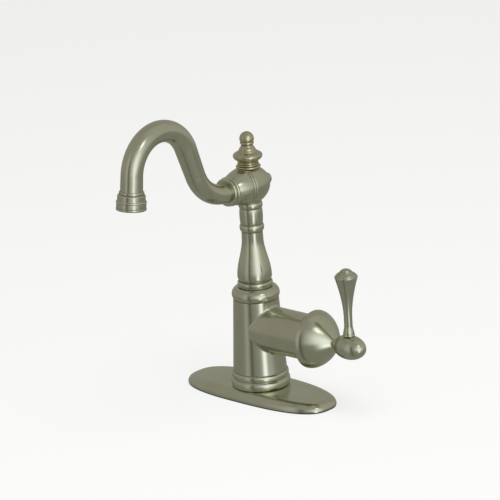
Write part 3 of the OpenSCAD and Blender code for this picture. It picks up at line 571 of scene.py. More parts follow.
def lathe(name, outside, inside=None, direction=UP, origin=ORIGIN, columns=COLUMNS):
    """An outline turned round an axis: x = r cos a, y = r sin a, z = h, then turned to direction.
    inside, listed from the top down, closes the section round a bore. Without it both ends close
    on the axis."""
    # How hollow or proud the outline is: the finish paints shade into hollows and rubs proud edges bright.
    wear = hollowness(outside)
    section = outside
    if inside is not None:
        section, wear = np.vstack([outside, inside]), np.append(wear, np.zeros(len(inside)))
    else:
        if outside[0, 0] > TINY:
            section, wear = np.vstack([[[0, outside[0, 1]]], section]), np.append(0, wear)
        if outside[-1, 0] > TINY:
            section, wear = np.vstack([section, [[0, outside[-1, 1]]]]), np.append(wear, 0)
    angle = np.linspace(0, 2 * np.pi, columns, endpoint=False)
    cos, sin = np.cos(angle)[None], np.sin(angle)[None]
    radius, height = section[:, :1], section[:, 1:]
    along = np.append(0, np.cumsum(np.hypot(*np.diff(section, axis=0).T)))[:, None]
    local = np.stack([radius * cos, radius * sin, height + 0 * cos], -1)
    grid = local @ axes(direction).T + np.array(origin, float)
    brush = np.stack([cos + 0 * along, sin + 0 * along, along + 0 * cos], -1)
    return mesh_from_grid(name, grid, brush, wear[:, None] + 0 * cos, inside is not None)


print("lathe is ready,", COLUMNS, "columns")


# %% Placing, joining and boring
def dress(made, node):
    """The piece stands for this node, rides on its body and takes its finish."""
    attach(made, BODY_OF[node])
    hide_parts(node)
    made.data.materials.clear()
    made.data.materials.append(FINISH[SLOT_OF[node]])
    print(f"{made.name}: {len(made.data.vertices)} vertices")


def turn(node, outside, inside=None, **place):
    """Turn this outline, and let the piece stand for the node."""
    dress(lathe(node + "_finish", outside, inside, **place), node)


def combine(base, tool, operation):
    """One solid from two: the tool is added to or cut from the base, and then deleted."""
    change = base.modifiers.new("change", "BOOLEAN")
    change.operation = operation
    change.solver = "EXACT"
    change.object = tool
    bpy.context.view_layer.update()
    result = bpy.data.meshes.new_from_object(base.evaluated_get(bpy.context.evaluated_depsgraph_get()))
    base.modifiers.clear()
    base.data = result
    bpy.data.objects.remove(tool)


def bore(direction, origin, radius, start, stop):
    """A plain round tool that cuts a hole along direction, from start to stop."""
    wall = points((radius, start), (radius, stop))
    return lathe("tool", wall, direction=direction, origin=origin, columns=96)


print("pieces can be joined and bored")

# %% [markdown]
# ## Deck plate
# The plate is a cast oval, nearly a superellipse, with a wide rounded edge and a top that falls
# away slightly towards its ends. One section runs up the rounded edge, in to the shank hole, down
# its wall and out again under the plate, and it is carried round the oval. The finish is
# brushed along the plate's length, so its brush attribute is laid out straight.

# %% The oval plate
plate_low, plate_high = box("deck_plate")
PLATE_POWER = 2.7
PLATE_DROP = 2.4
PLATE_FALL = 2.5
PLATE_LIP = 0.8
PLATE_ROUND = 8.0
PLATE_WALL = 2.0
RIM_INSET = 6.4
SHANK_HOLE = 17.4
BOSS_WALL = 3.5
PLATE_POINTS = 288
plate_a = (plate_high[0] - plate_low[0]) / 2
plate_b = (plate_high[1] - plate_low[1]) / 2


def oval(inset):
    """The superellipse |x/a|^p + |y/b|^p = 1, each point drawn in square to the outline by inset."""
    t = np.linspace(0, 2 * np.pi, PLATE_POINTS, endpoint=False)

    def keep_sign(value, power):
        return np.sign(value) * np.abs(value) ** power

    x, y = keep_sign(np.cos(t), 2 / PLATE_POWER), keep_sign(np.sin(t), 2 / PLATE_POWER)
    slope = np.stack([keep_sign(x, PLATE_POWER - 1) / plate_a, keep_sign(y, PLATE_POWER - 1) / plate_b], -1)
    slope /= np.linalg.norm(slope, axis=-1, keepdims=True)
    return np.stack([plate_a * x, plate_b * y], -1) - inset * slope


def crown(x):
    """Height of the top: it falls away from the middle with a power of the distance."""
    return plate_high[2] - PLATE_DROP * (np.abs(x) / plate_a) ** PLATE_FALL


def plate_rows():
    """Rows of the plate's closed section: plan points and heights, from the foot up and round."""
    low = plate_low[2] + PLATE_LIP
    rows = [np.column_stack([oval(0), np.full(PLATE_POINTS, plate_low[2])])]
    for turned_up in np.radians(np.linspace(0, 90, 25)):
        plan = oval(PLATE_ROUND * (1 - np.cos(turned_up)))
        rows.append(np.column_stack([plan, low + (crown(plan[:, 0]) - low) * np.sin(turned_up)]))
    edge = oval(PLATE_ROUND)
    angle = np.arctan2(edge[:, 1], edge[:, 0])
    hole = SHANK_HOLE * np.column_stack([np.cos(angle), np.sin(angle)])
    for share in np.linspace(0, 1, 41)[1:]:
        plan = edge + (hole - edge) * share
        rows.append(np.column_stack([plan, crown(plan[:, 0])]))
    ceiling, ground = plate_high[2] - PLATE_DROP - PLATE_WALL, plate_low[2]
    boss = hole * (SHANK_HOLE + BOSS_WALL) / SHANK_HOLE
    rim = oval(RIM_INSET)
    for plan, level in ((hole, ground), (boss, ground), (boss, ceiling), (rim, ceiling), (rim, ground)):
        rows.append(np.column_stack([plan, np.full(PLATE_POINTS, level)]))
    return np.array(rows)


# Scratches run along x, so the brush attribute changes fast over y and z and slowly over x.
ACROSS_BRUSH, ALONG_BRUSH = 3.0, 48.0
plate_grid = plate_rows()
plate_brush = plate_grid[..., [1, 2, 0]] / [ACROSS_BRUSH, ACROSS_BRUSH, ALONG_BRUSH]
plate = mesh_from_grid("deck_plate_finish", plate_grid, plate_brush, np.zeros(plate_grid.shape[:2]), True)
dress(plate, "deck_plate")

# %% [markdown]
# ## Valve body
# The body is one casting: a tapered column on two foot beads, with a round side housing for the
# cartridge. Both are turned outlines, and they are joined and bored as solids, which gives the
# saddle curve where the housing runs into the column for free. A casting has no sharp inner
# corner, so a small fillet runs along the saddle: the track that a rolling ball would leave.

# %% Column and housing
body_low, body_high = box("valve_body")
axis_z = JOINT_AT["handle_mix"][2]
NECK_H = 4.8
NECK_R = 16.0
FOOT_R = -body_low[0]
FOOT_H = 13.6
BODY_LOW_R = 23.6
BODY_TOP_R = 20.0
HOUSING_R = 20.1
foot_z = body_low[2]
body_top = body_high[2] - NECK_H
LOW_BEAD_SHARE = 0.52
foot_top = foot_z + FOOT_H
low_bead = foot_z + FOOT_H * LOW_BEAD_SHARE
column_line = even(
    points((FOOT_R - 1.6, foot_z)),
    bead(FOOT_R - 1.2, 1.2, foot_z + 0.2, low_bead),
    points((FOOT_R - 1.6, low_bead + 0.8)),
    bead(FOOT_R - 1.9, 0.9, low_bead + 0.8, foot_top - 0.4),
    points((BODY_LOW_R, foot_top), (BODY_TOP_R, body_top), (NECK_R, body_top), (NECK_R, body_high[2])))
column = lathe("valve_body_finish", column_line)
housing_line = even(points((HOUSING_R, 0), (HOUSING_R, body_high[0] - 0.6), (HOUSING_R - 0.6, body_high[0]),
                           (HOUSING_R - 2.0, body_high[0])))
ALONG_HANDLE = (1.0, 0.0, 0.0)
handle_at = (0.0, 0.0, axis_z)
housing = lathe("housing", housing_line, direction=ALONG_HANDLE, origin=handle_at)
combine(column, housing, "UNION")
print("column and housing joined:", len(column.data.vertices), "vertices")

# %% Fillet along the saddle
SADDLE_R, SUNK, BURIED = 2.6, 0.02, 1.0
lean = math.atan((BODY_LOW_R - BODY_TOP_R) / (body_top - foot_top))


def saddle_grid(rows=288, steps=14):
    """A rolling ball's track: its centre keeps one radius from the housing and from the tapered column.
    Each row is the arc that the ball leaves between the two, closed by a point inside the metal."""
    around = np.linspace(0, 2 * np.pi, rows, endpoint=False)
    off_housing = np.column_stack([0 * around, np.sin(around), np.cos(around)])
    centre = np.array(handle_at) + (HOUSING_R + SADDLE_R - SUNK) * off_housing
    column_r = BODY_LOW_R - (centre[:, 2] - foot_top) * math.tan(lean)
    reach = column_r + (SADDLE_R - SUNK) / math.cos(lean)
    centre[:, 0] = np.sqrt(reach ** 2 - centre[:, 1] ** 2)
    level_part = centre[:, :2] / reach[:, None] * math.cos(lean)
    off_column = np.column_stack([level_part, np.full(rows, math.sin(lean))])
    opening_angle = np.arccos((off_housing * off_column).sum(1))[:, None, None]
    share = np.linspace(0, 1, steps)[None, :, None]
    swept = (np.sin((1 - share) * opening_angle) * off_housing[:, None]
             + np.sin(share * opening_angle) * off_column[:, None]) / np.sin(opening_angle)
    arcs = centre[:, None] - SADDLE_R * swept
    middle = off_housing + off_column
    depth = SADDLE_R / np.cos(opening_angle[:, :, 0] / 2) + BURIED
    inside = centre - middle / np.linalg.norm(middle, axis=1, keepdims=True) * depth
    return np.concatenate([arcs, inside[:, None]], axis=1)


track = saddle_grid()
saddle = mesh_from_grid("saddle", track, track, np.zeros(track.shape[:2]), True)
combine(column, saddle, "UNION")
print("fillet of", SADDLE_R, "mm joined")

# %% Bores and brushing of the body
CHAMBER_R, CHAMBER_FROM = 17.35, 22.0
NUT_R, NUT_FROM = 18.3, body_high[0] - 10.4
TURNING_R, TURNING_FROM, BLOCK_R = 9.58, axis_z + 5.2, 17.0
PAST = 1.0
ON_SURFACE = 0.05
for tool in ((ALONG_HANDLE, handle_at, CHAMBER_R, CHAMBER_FROM, body_high[0] + PAST),
             (ALONG_HANDLE, handle_at, NUT_R, NUT_FROM, body_high[0] + PAST),
             (UP, ORIGIN, TURNING_R, TURNING_FROM, body_high[2] + PAST),
             (UP, ORIGIN, BLOCK_R, foot_z - PAST, foot_top)):
    combine(column, bore(*tool), "DIFFERENCE")


def brush_body(mesh):
    """Lay the scratches round whichever axis a point was turned on, and find its hollows.
    A point belongs to the housing if it lies on the housing's cylinder."""
    x, y, z = read_points(mesh).T
    from_handle = np.hypot(y, z - axis_z)
    column_r = np.interp(z, column_line[:, 1], column_line[:, 0])
    outside_column = np.hypot(x, y) > column_r - ON_SURFACE
    on_housing = (x > 0) & (np.abs(from_handle - HOUSING_R) < ON_SURFACE) & outside_column
    angle = np.where(on_housing, np.arctan2(y, z - axis_z), np.arctan2(y, x))
    along = np.where(on_housing, x, z)
    # How hollow or proud the column is here: hollows get painted shade, proud edges are rubbed bright.
    grooves = np.interp(z, column_line[:, 1], hollowness(column_line))
    brush = np.stack([np.cos(angle), np.sin(angle), along], -1)
    write_fields(mesh, brush, np.where(on_housing, 0, grooves))


brush_body(column.data)
shade_smooth(column.data)
dress(column, "valve_body")

# %% [markdown]
# ## Collar and pillar
# The collar nut is a round cushion of metal that closes the body. The pillar above it turns with
# the spout: a foot ring, a belly that narrows to a slim neck, a ring, a barrel and another ring.
# Both are turned outlines, and the pillar goes on below the collar as the spigot with its grooves.

# %% Collar nut
collar_low, collar_high = box("collar_nut")
COLLAR_ROUND, COLLAR_WIDEST = 7.0, 0.4
collar_r = collar_high[0]
collar_mid = collar_low[2] + COLLAR_WIDEST * (collar_high[2] - collar_low[2])
start = math.degrees(math.asin((collar_low[2] - collar_mid) / COLLAR_ROUND))
stop = math.degrees(math.asin((collar_high[2] - collar_mid) / COLLAR_ROUND))
collar_line = even(points((NECK_R + 0.1, collar_low[2])),
                   arc(collar_r - COLLAR_ROUND, collar_mid, COLLAR_ROUND, start, stop),
                   points((TURNING_R, collar_high[2])))
collar_bore = points((TURNING_R, body_high[2] + 0.05), (NECK_R + 0.05, body_high[2] + 0.05))
turn("collar_nut", collar_line, collar_bore)

# %% Pillar
pillar_low, pillar_high = box("spout_pillar")
foot = JOINT_AT["spout_swivel"][2]
TOP_SPIGOT_H = 7.4
seat = pillar_high[2] - TOP_SPIGOT_H
pillar_h = seat - foot
FOOT_RING_R, BELLY_R, SLIM_R, RING_R, NECK_RING_R = 15.4, 15.1, 9.3, 10.7, 10.5
SPIGOT_R, TOP_SPIGOT_R, WATER_R = 9.5, 7.0, 5.5
RING_H, NECK_RING_H = 6.0, 5.0
RING_SHARE, BELLY_H = 0.7, 8.4
ring_z, belly_z = foot + RING_SHARE * pillar_h, foot + BELLY_H
CONE_END = 9.5
SEAL_W, SEAL_DEEP = 2.2, 1.5
CLIP_FROM, CLIP_TO, CLIP_R = body_top + 1.0, body_high[2] - 0.2, 8.0
SEAL_EDGE = 0.6
SEAL_BOTTOM_R = SPIGOT_R - SEAL_DEEP


def groove(low, high, bottom):
    """Corners of a square groove in the spigot, from its low edge to its high one."""
    return [(SPIGOT_R, low), (bottom, low), (bottom, high), (SPIGOT_R, high)]


low_seal, high_seal = pillar_low[2] + SEAL_EDGE, CLIP_FROM - SEAL_EDGE - SEAL_W
spigot_line = points(
    (WATER_R, pillar_low[2]), (SPIGOT_R, pillar_low[2]),
    *groove(low_seal, low_seal + SEAL_W, SEAL_BOTTOM_R),
    *groove(high_seal, high_seal + SEAL_W, SEAL_BOTTOM_R),
    *groove(CLIP_FROM, CLIP_TO, CLIP_R), (SPIGOT_R, foot))
pillar_line = even(
    points((SPIGOT_R, foot), (FOOT_RING_R - 0.7, foot)),
    arc(FOOT_RING_R - 0.7, foot + 0.7, 0.7, -90, 0),
    bead(FOOT_RING_R - 0.6, 0.6, foot + 1, foot + 4.4),
    points((FOOT_RING_R - 1.2, foot + 4.8)),
    ease(BELLY_R - 1, foot + 5.2, BELLY_R, belly_z),
    ease(BELLY_R, belly_z + 0.4, SLIM_R + 0.1, ring_z - CONE_END),
    points((SLIM_R, ring_z - RING_H / 2 - 0.3)),
    bead(SLIM_R + 0.3, RING_R - SLIM_R - 0.3, ring_z - RING_H / 2, ring_z + RING_H / 2),
    bead(SLIM_R + 0.2, 0.7, ring_z + RING_H / 2 + 0.3, seat - NECK_RING_H - 0.3),
    bead(SLIM_R + 0.4, NECK_RING_R - SLIM_R - 0.4, seat - NECK_RING_H, seat),
    points((TOP_SPIGOT_R, seat), (TOP_SPIGOT_R, pillar_high[2])))
pillar_inside = np.vstack([points((WATER_R, pillar_high[2])), spigot_line])
turn("spout_pillar", pillar_line, pillar_inside)

# %% [markdown]
# ## Hub
# The hub is an onion that lies on its side: a superelliptic curve, longer in front than behind,
# with two fine grooves round its widest place and a round boss above and below. A plug closes it
# behind, and two beads dress the tube where it comes out in front.

# %% Hub body
hub_low, hub_high = box("spout_hub")
cap_low, cap_high = box("hub_rear_cap")
hub_z = (cap_low[2] + cap_high[2]) / 2
HUB_R, HUB_SHIFT, HUB_NOSE, HUB_TAIL, HUB_POWER = 17.3, 1.0, 33.0, 21.5, 1.85
HUB_GROOVES, GROOVE_WIDTH, GROOVE_DEEP = (7.0, 9.6), 0.279, 0.55
TUBE_R, TUBE_WALL, TUBE_SUNK = 8.8, 1.5, 9.0
SEAT_GAP, FINIAL_BASE_R, PLAY = 0.2, 10.8, 0.05
hub_front, hub_rear = -hub_low[1], hub_high[1]
boss_top = box("finial_washer")[0][2]
FRONT, REAR = (0.0, -1.0, 0.0), (0.0, 1.0, 0.0)
hub_at = (0.0, 0.0, hub_z)


def hub_radius(u):
    """The superellipse of the hub at distance u in front of the pillar, with its grooves cut in.
    Each groove is a bell curve."""
    reach = np.where(u > HUB_SHIFT, HUB_NOSE, HUB_TAIL)
    full = HUB_R * (1 - (np.abs(u - HUB_SHIFT) / reach) ** HUB_POWER) ** (1 / HUB_POWER)
    for place in HUB_GROOVES:
        full = full - GROOVE_DEEP * np.exp(-((u - HUB_SHIFT - place) / GROOVE_WIDTH) ** 2)
    return full


u = np.linspace(-hub_rear, hub_front, 420)
hub_line = even(points((0, -hub_rear)), np.column_stack([hub_radius(u), u]), points((0, hub_front)))
hub = lathe("spout_hub_finish", hub_line, direction=FRONT, origin=hub_at)
LOW_BOSS_R, TOP_BOSS_R = 9.8, 9.5
BOSS_BURIED = 4.0
low_boss = lathe("boss", even(points((LOW_BOSS_R, seat), (LOW_BOSS_R, hub_z - BOSS_BURIED))))
top_boss = lathe("boss", even(points((TOP_BOSS_R, hub_z + BOSS_BURIED), (TOP_BOSS_R, boss_top))))
combine(hub, low_boss, "UNION")
combine(hub, top_boss, "UNION")
print("hub and bosses joined:", len(hub.data.vertices), "vertices")

# %% Bores and brushing of the hub
BACK_WALL, SPIGOT_ROOM, STUD_HOLE_R, STUD_HOLE_DEEP = 8.0, 4.0, 2.55, 8.0
for tool in ((FRONT, hub_at, TUBE_R + PLAY, hub_front - TUBE_SUNK, hub_front + PAST),
             (FRONT, hub_at, TUBE_R - TUBE_WALL, -hub_rear + BACK_WALL, hub_front),
             (UP, ORIGIN, TOP_SPIGOT_R + PLAY, seat - PAST, pillar_high[2] + SPIGOT_ROOM),
             (UP, ORIGIN, STUD_HOLE_R, boss_top - STUD_HOLE_DEEP, boss_top + PAST),
             (UP, ORIGIN, NECK_RING_R + SEAT_GAP, hub_z - HUB_R - PAST, seat),
             (UP, ORIGIN, FINIAL_BASE_R + SEAT_GAP, boss_top, hub_z + HUB_R + PAST)):
    combine(hub, bore(*tool), "DIFFERENCE")
# Painted shade along the seams where the bosses meet the hub: how dark it is, and how wide in millimetres.
SEAM_SHADE, SEAM_WIDTH = 0.3, 0.6


def brush_hub(mesh):
    """Scratches run round the hub's own axis. Hollows, which the finish paints dark as shade, are its grooves and
    the seams of its bosses.
    """
    x, y, z = read_points(mesh).T
    angle = np.arctan2(x, z - hub_z)
    ahead = -y
    grooves = np.interp(ahead, hub_line[1:-1, 1], hollowness(hub_line)[1:-1])
    hub_r = hub_radius(np.clip(ahead, -hub_rear, hub_front))
    on_hub = np.abs(np.hypot(x, z - hub_z) - hub_r) < ON_SURFACE
    boss = np.where(z > hub_z, TOP_BOSS_R, LOW_BOSS_R)
    seam = SEAM_SHADE * np.exp(-((np.hypot(x, y) - boss) / SEAM_WIDTH) ** 2) * on_hub
    brush = np.where(on_hub[:, None], np.stack([np.cos(angle), np.sin(angle), ahead], -1),
                     np.stack([x / 10, y / 10, z], -1))
    write_fields(mesh, brush, np.where(on_hub, grooves, 0) + seam)


brush_hub(hub.data)
shade_smooth(hub.data)
dress(hub, "spout_hub")

# %% Plug behind and beads in front
CAP_R, CAP_THREAD_R, CAP_THREAD_LEN = 5.4, 4.5, 7.0
cap_from, cap_to = hub_rear, cap_high[1]
cap_side = cap_from + 0.35 * (cap_to - cap_from)
dome = arc(0, 0, 1, 0, 90) * [CAP_R, cap_to - cap_side] + [0, cap_side]
cap_line = even(points((0, cap_from - CAP_THREAD_LEN), (CAP_THREAD_R, cap_from - CAP_THREAD_LEN),
                       (CAP_THREAD_R, cap_from), (CAP_R - 0.4, cap_from), (CAP_R, cap_from + 0.5)), dome)
turn("hub_rear_cap", cap_line, direction=REAR, origin=hub_at, columns=96)
ring_low, ring_high = box("hub_front_ring")
ring_from, ring_to, ring_r = -ring_high[1], -ring_low[1], ring_high[0]
ring_len = ring_to - ring_from
on_tube = TUBE_R + PLAY
ring_line = even(points((on_tube, ring_from)),
                 bead(ring_r - 1.2, 1.2, ring_from, ring_from + 0.5 * ring_len),
                 bead(ring_r - 1.8, 1.2, ring_from + 0.54 * ring_len, ring_to),
                 points((on_tube, ring_to)))
ring_bore = points((on_tube, ring_to - 0.1), (on_tube, ring_from + 0.1))
turn("hub_front_ring", ring_line, ring_bore, direction=FRONT, origin=hub_at)

# %% [markdown]
# ## Spout
# The swan neck is one bent tube. Its route is three straight runs joined by two circular bends,
# all in one plane, and the tube swells a little over the arch. A circle is carried along the
# route, outwards first and back inside, so that the tube has its real wall and bore.

# %% Route of the swan neck
BEND_START, LOW_BEND_R, CLIMB, CLIMB_LEN = 31.0, 37.5, math.radians(70), 27.5
ARCH_R, TILT, LEG_LEN, OUTLET_LEN = 34.1, math.radians(7), 12.7, 7.7
ARCH_TUBE_R, LEG_TUBE_R = 9.45, 9.75
STUB_ROWS, LOW_ROWS, CLIMB_ROWS, ARCH_ROWS, LEG_ROWS = 12, 48, 24, 96, 20


def bend(centre, radius, start, stop, rows):
    """Points along a circular bend, from one angle to another."""
    angle = np.linspace(start, stop, rows)
    return centre + radius * np.column_stack([np.cos(angle), np.sin(angle)])


def run(start, stop, rows):
    """Points along a straight run."""
    return start + (stop - start) * np.linspace(0, 1, rows)[:, None]


def route():
    """Points in the spout's plane, as distance to the front and height, with the tube's radius at each."""
    low_centre = np.array([BEND_START, hub_z + LOW_BEND_R])
    climb_from = low_centre + LOW_BEND_R * np.array([math.sin(CLIMB), -math.cos(CLIMB)])
    climb_to = climb_from + CLIMB_LEN * np.array([math.cos(CLIMB), math.sin(CLIMB)])
    arch_centre = climb_to + ARCH_R * np.array([math.sin(CLIMB), -math.cos(CLIMB)])
    leg_from = arch_centre + ARCH_R * np.array([math.cos(TILT), math.sin(TILT)])
    leg_to = leg_from + (LEG_LEN + OUTLET_LEN) * np.array([math.sin(TILT), -math.cos(TILT)])
    parts = [run(np.array([hub_front - TUBE_SUNK, hub_z]), np.array([BEND_START, hub_z]), STUB_ROWS),
             bend(low_centre, LOW_BEND_R, -math.pi / 2, CLIMB - math.pi / 2, LOW_ROWS),
             run(climb_from, climb_to, CLIMB_ROWS),
             bend(arch_centre, ARCH_R, CLIMB + math.pi / 2, TILT, ARCH_ROWS),
             run(leg_from, leg_to, LEG_ROWS)]
    radii = [np.full(STUB_ROWS + LOW_ROWS, TUBE_R), np.linspace(TUBE_R, ARCH_TUBE_R, CLIMB_ROWS),
             np.full(ARCH_ROWS, ARCH_TUBE_R), np.linspace(ARCH_TUBE_R, LEG_TUBE_R, LEG_ROWS)]
    return np.vstack(parts), np.concatenate(radii), leg_from


path, tube_radius, leg_from = route()
keep = np.append(True, np.hypot(*np.diff(path, axis=0).T) > TINY)
path, tube_radius = path[keep], tube_radius[keep]
ahead = np.gradient(path, axis=0)
ahead /= np.linalg.norm(ahead, axis=1, keepdims=True)
across = np.column_stack([-ahead[:, 1], ahead[:, 0]])
along = np.append(0, np.cumsum(np.hypot(*np.diff(path, axis=0).T)))
angle = np.linspace(0, 2 * np.pi, COLUMNS, endpoint=False)
print("swan neck:", round(along[-1], 1), "mm of tube")


# %% The tube, carried along its route
def tube_rows(radius):
    """A circle of this radius at every point of the route: its plane is square to the route."""
    plan = path[:, None] + radius[:, None, None] * np.sin(angle)[None, :, None] * across[:, None]
    sideways = radius[:, None] * np.cos(angle)[None]
    return np.stack([sideways, -plan[..., 0], plan[..., 1]], -1)


outer, inner = tube_rows(tube_radius), tube_rows(tube_radius - TUBE_WALL)[::-1]
tube_grid = np.concatenate([outer, inner])
tube_along = np.concatenate([along, along[::-1]])[:, None] + 0 * angle[None]
tube_brush = np.stack([np.cos(angle) + 0 * tube_along, np.sin(angle) + 0 * tube_along, tube_along], -1)
tube = mesh_from_grid("spout_tube_finish", tube_grid, tube_brush, np.zeros(tube_grid.shape[:2]), True)
dress(tube, "spout_tube")

# %% [markdown]
# ## Outlet
# A stepped collar is brazed to the end of the tube, and the aerator screws onto it. The shell has a
# rolled bead above and below a plain band, which is where fingers or a key grip it.

# %% Collar and aerator shell
leg_down = (0.0, -math.sin(TILT), -math.cos(TILT))
leg_at = (0.0, -leg_from[0], leg_from[1])
STEP_R, OUTLET_R, OUTLET_STEP, THREAD_R, THREAD_LEN = 10.75, 11.95, 2.8, 11.0, 3.9
AERATOR_R, AERATOR_LEN, LEDGE_R, LEDGE_H = 13.0, 8.3, 9.9, 1.0
collar_from, collar_to = LEG_LEN, LEG_LEN + OUTLET_LEN
step_at, thread_to = collar_from + OUTLET_STEP, collar_to + THREAD_LEN
on_leg, in_leg = LEG_TUBE_R + PLAY, LEG_TUBE_R - TUBE_WALL
outlet_line = even(
    points((on_leg, collar_from)),
    arc(STEP_R - 0.6, collar_from + 0.6, 0.6, -90, 0),
    points((STEP_R, step_at - 0.4), (OUTLET_R - 0.5, step_at), (OUTLET_R, step_at + 0.5),
           (OUTLET_R, collar_to), (THREAD_R, collar_to), (THREAD_R, thread_to)))
outlet_bore = points((in_leg, thread_to), (in_leg, collar_to), (on_leg, collar_to))
turn("outlet_collar", outlet_line, outlet_bore, direction=leg_down, origin=leg_at)
aerator_to = collar_to + AERATOR_LEN
shell_line = even(
    points((THREAD_R + PLAY, collar_to), (AERATOR_R - 0.6, collar_to)),
    bead(AERATOR_R - 0.5, 0.5, collar_to + 0.2, collar_to + 2.0),
    points((AERATOR_R - 0.35, collar_to + 2.3), (AERATOR_R - 0.35, aerator_to - 2.6)),
    bead(AERATOR_R - 0.5, 0.5, aerator_to - 2.3, aerator_to - 0.3),
    points((AERATOR_R - 0.9, aerator_to), (LEDGE_R, aerator_to)), step=FINE_STEP)
shell_bore = points((LEDGE_R, aerator_to - LEDGE_H), (THREAD_R + PLAY, aerator_to - LEDGE_H))
turn("aerator_shell", shell_line, shell_bore, direction=leg_down, origin=leg_at)

# %% [markdown]
# ## Finial
# The finial screws into the top of the hub and hides the threaded hole there. Its outline is a
# stack of rings, a wide disc, a concave neck and a small ball, and its plating is a little warmer
# than the rest. Heights are shares of its own height, as a turner would mark them on the blank.

# %% Finial
finial_low, finial_high = box("finial")
finial_foot = box("finial_washer")[1][2]
finial_h = finial_high[2] - finial_foot
BASE_R, DISC_R, BALL_R, STUD_R = FINIAL_BASE_R, finial_high[0], 6.3, 2.5
ball_z = finial_high[2] - BALL_R
ring_top = ball_z - 0.35 * BALL_R
ring_foot = ring_top - 0.4 * BALL_R
neck_r = BALL_R - 1.2


def share(part):
    """The height at this share of the finial."""
    return finial_foot + finial_h * part


finial_line = even(
    points((0, finial_low[2]), (STUD_R, finial_low[2]), (STUD_R, finial_foot), (BASE_R - 1.2, finial_foot)),
    bead(BASE_R - 0.9, 0.9, finial_foot, share(0.06)),
    bead(BASE_R - 2.2, 0.9, share(0.065), share(0.115)),
    points((DISC_R - 3.8, share(0.13)), (DISC_R - 3.8, share(0.17))),
    ease(DISC_R - 3.6, share(0.18), DISC_R - 0.6, share(0.28)),
    bead(DISC_R - 0.6, 0.6, share(0.285), share(0.375)),
    ease(DISC_R - 0.9, share(0.38), DISC_R - 4.6, share(0.46)),
    points((DISC_R - 4.8, share(0.475)), (DISC_R - 5.4, share(0.49))),
    ease(DISC_R - 5.6, share(0.5), neck_r, ring_foot - 0.6),
    bead(neck_r + 0.2, 0.8, ring_foot, ring_top - 0.2),
    arc(0, ball_z, BALL_R, -17, 90), step=FINE_STEP)
turn("finial", finial_line)

# %% [markdown]
# ## Handle
# The handle is four turnings: a bell that covers the cartridge, an egg-shaped ball on its tip, a
# slim lever that stands on the ball and swells to a mushroom head, and a small domed button that
# closes the head. The bell is a real shell with a boss inside, which carries the set screw.

# %% Bell
bell_low, bell_high = box("handle_bell")
rim_x, bell_tip = bell_low[0], bell_high[0]
BELL_R, RIM_R, TIP_R, BELL_WALL = (bell_high[2] - bell_low[2]) / 2, 21.8, 4.4, 1.4
LIP, SHOULDER, DOME_POWER = 1.4, 1.0, 1.7
BOSS_R, BOSS_START, STEM_LEN, SOCKET_R, STUD_THREAD_R = 7.5, 9.0, 20.0, 4.2, 2.05
BOSS_FROM = JOINT_AT["handle_lift"][0] + BOSS_START
STEM_TO = JOINT_AT["handle_lift"][0] + STEM_LEN
dome_from = rim_x + LIP + SHOULDER


def bell_line(inset, end):
    """Outline of the bell, drawn in by inset: a shoulder that swells from the rim, and a dome that
    falls to the tip."""
    return [swell(RIM_R - inset, rim_x + LIP + inset, BELL_R - inset, dome_from + inset),
            flare(BELL_R - inset, dome_from + inset + 0.3, TIP_R - inset, end, DOME_POWER)]


outside = even(points((RIM_R - BELL_WALL, rim_x), (RIM_R, rim_x)),
               bead(RIM_R, 0.5, rim_x + 0.1, rim_x + LIP - 0.1),
               *bell_line(0, bell_tip), points((STUD_THREAD_R, bell_tip)))
hollow = np.vstack(bell_line(BELL_WALL, bell_tip - 2 * BELL_WALL))[::-1]
hollow = hollow[hollow[:, 0] > BOSS_R]
socket = points((STUD_THREAD_R, STEM_TO), (SOCKET_R, STEM_TO), (SOCKET_R, BOSS_FROM), (BOSS_R, BOSS_FROM))
boss_end, inner_rim = points((BOSS_R, hollow[0, 1])), points((RIM_R - BELL_WALL, rim_x + LIP))
inside = np.vstack([socket, boss_end, hollow, inner_rim])
turn("handle_bell", outside, inside, direction=ALONG_HANDLE, origin=handle_at)

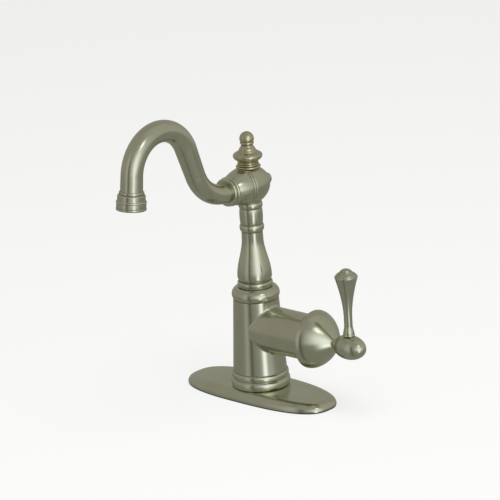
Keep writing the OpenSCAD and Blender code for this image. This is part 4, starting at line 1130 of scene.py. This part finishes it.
# %% Ball
ball_low, ball_high = box("handle_ball")
EGG_HALF, EGG_R = 16.5, (ball_high[2] - ball_low[2]) / 2
egg_x = ball_high[0] - EGG_HALF
cut = math.acos(min(1.0, (egg_x - bell_tip) / EGG_HALF))
swing = np.linspace(cut, np.pi, 96)
egg_line = even(points((0, egg_x - EGG_HALF * math.cos(cut))),
                np.column_stack([EGG_R * np.sin(swing), egg_x - EGG_HALF * np.cos(swing)]))
turn("handle_ball", egg_line, direction=ALONG_HANDLE, origin=handle_at)

# %% Lever and button
lever_h = box("lever_button")[1][2] - axis_z
LEVER_SLIM, LEVER_HEAD, BUTTON_R, BUTTON_H, TANG_R = 3.65, 10.0, 4.2, 1.8, 2.5
lever_root = EGG_R - 0.2
SLIM_SHARE, HEAD_SHARE, LEVER_FLARE = 0.39, 0.9, 1.75
slim_z, head_z, button_z = SLIM_SHARE * lever_h, HEAD_SHARE * lever_h, lever_h - BUTTON_H
lever_line = even(
    points((0, 1), (TANG_R, 1), (TANG_R, lever_root), (LEVER_SLIM + 1.5, lever_root),
           (LEVER_SLIM + 1.6, lever_root + 0.8)),
    ease(LEVER_SLIM + 1.2, lever_root + 1.6, LEVER_SLIM, lever_root + 9),
    flare(LEVER_SLIM, slim_z, LEVER_HEAD - 0.2, head_z - 1, LEVER_FLARE),
    arc(LEVER_HEAD - 1, head_z, 1, -20, 60),
    ease(LEVER_HEAD - 1, head_z + 1.2, BUTTON_R + 0.8, button_z),
    points((BUTTON_R + 0.3, button_z - 0.3), (0, button_z - 0.3)), step=FINE_STEP)
on_ball = (egg_x, 0.0, axis_z)
turn("lever", lever_line, origin=on_ball)
button_dome = arc(0, 0, 1, 0, 90) * [BUTTON_R, BUTTON_H] + [0, button_z]
button_line = even(points((0, button_z - 0.25), (BUTTON_R, button_z - 0.25)), button_dome, step=FINEST_STEP)
turn("lever_button", button_line, origin=on_ball, columns=96)

# %% [markdown]
# ## Inner pieces
# Seals, washers, cartridge, screws and the aerator's insert keep their exact construction meshes,
# because their shape is already right. Each gets the finish of its own material.

# %% Finishes for the construction nodes
for node, made in frame["nodes"].items():
    made.data.materials.clear()
    made.data.materials.append(FINISH[SLOT_OF[node]])
print(len(frame["nodes"]), "nodes finished")
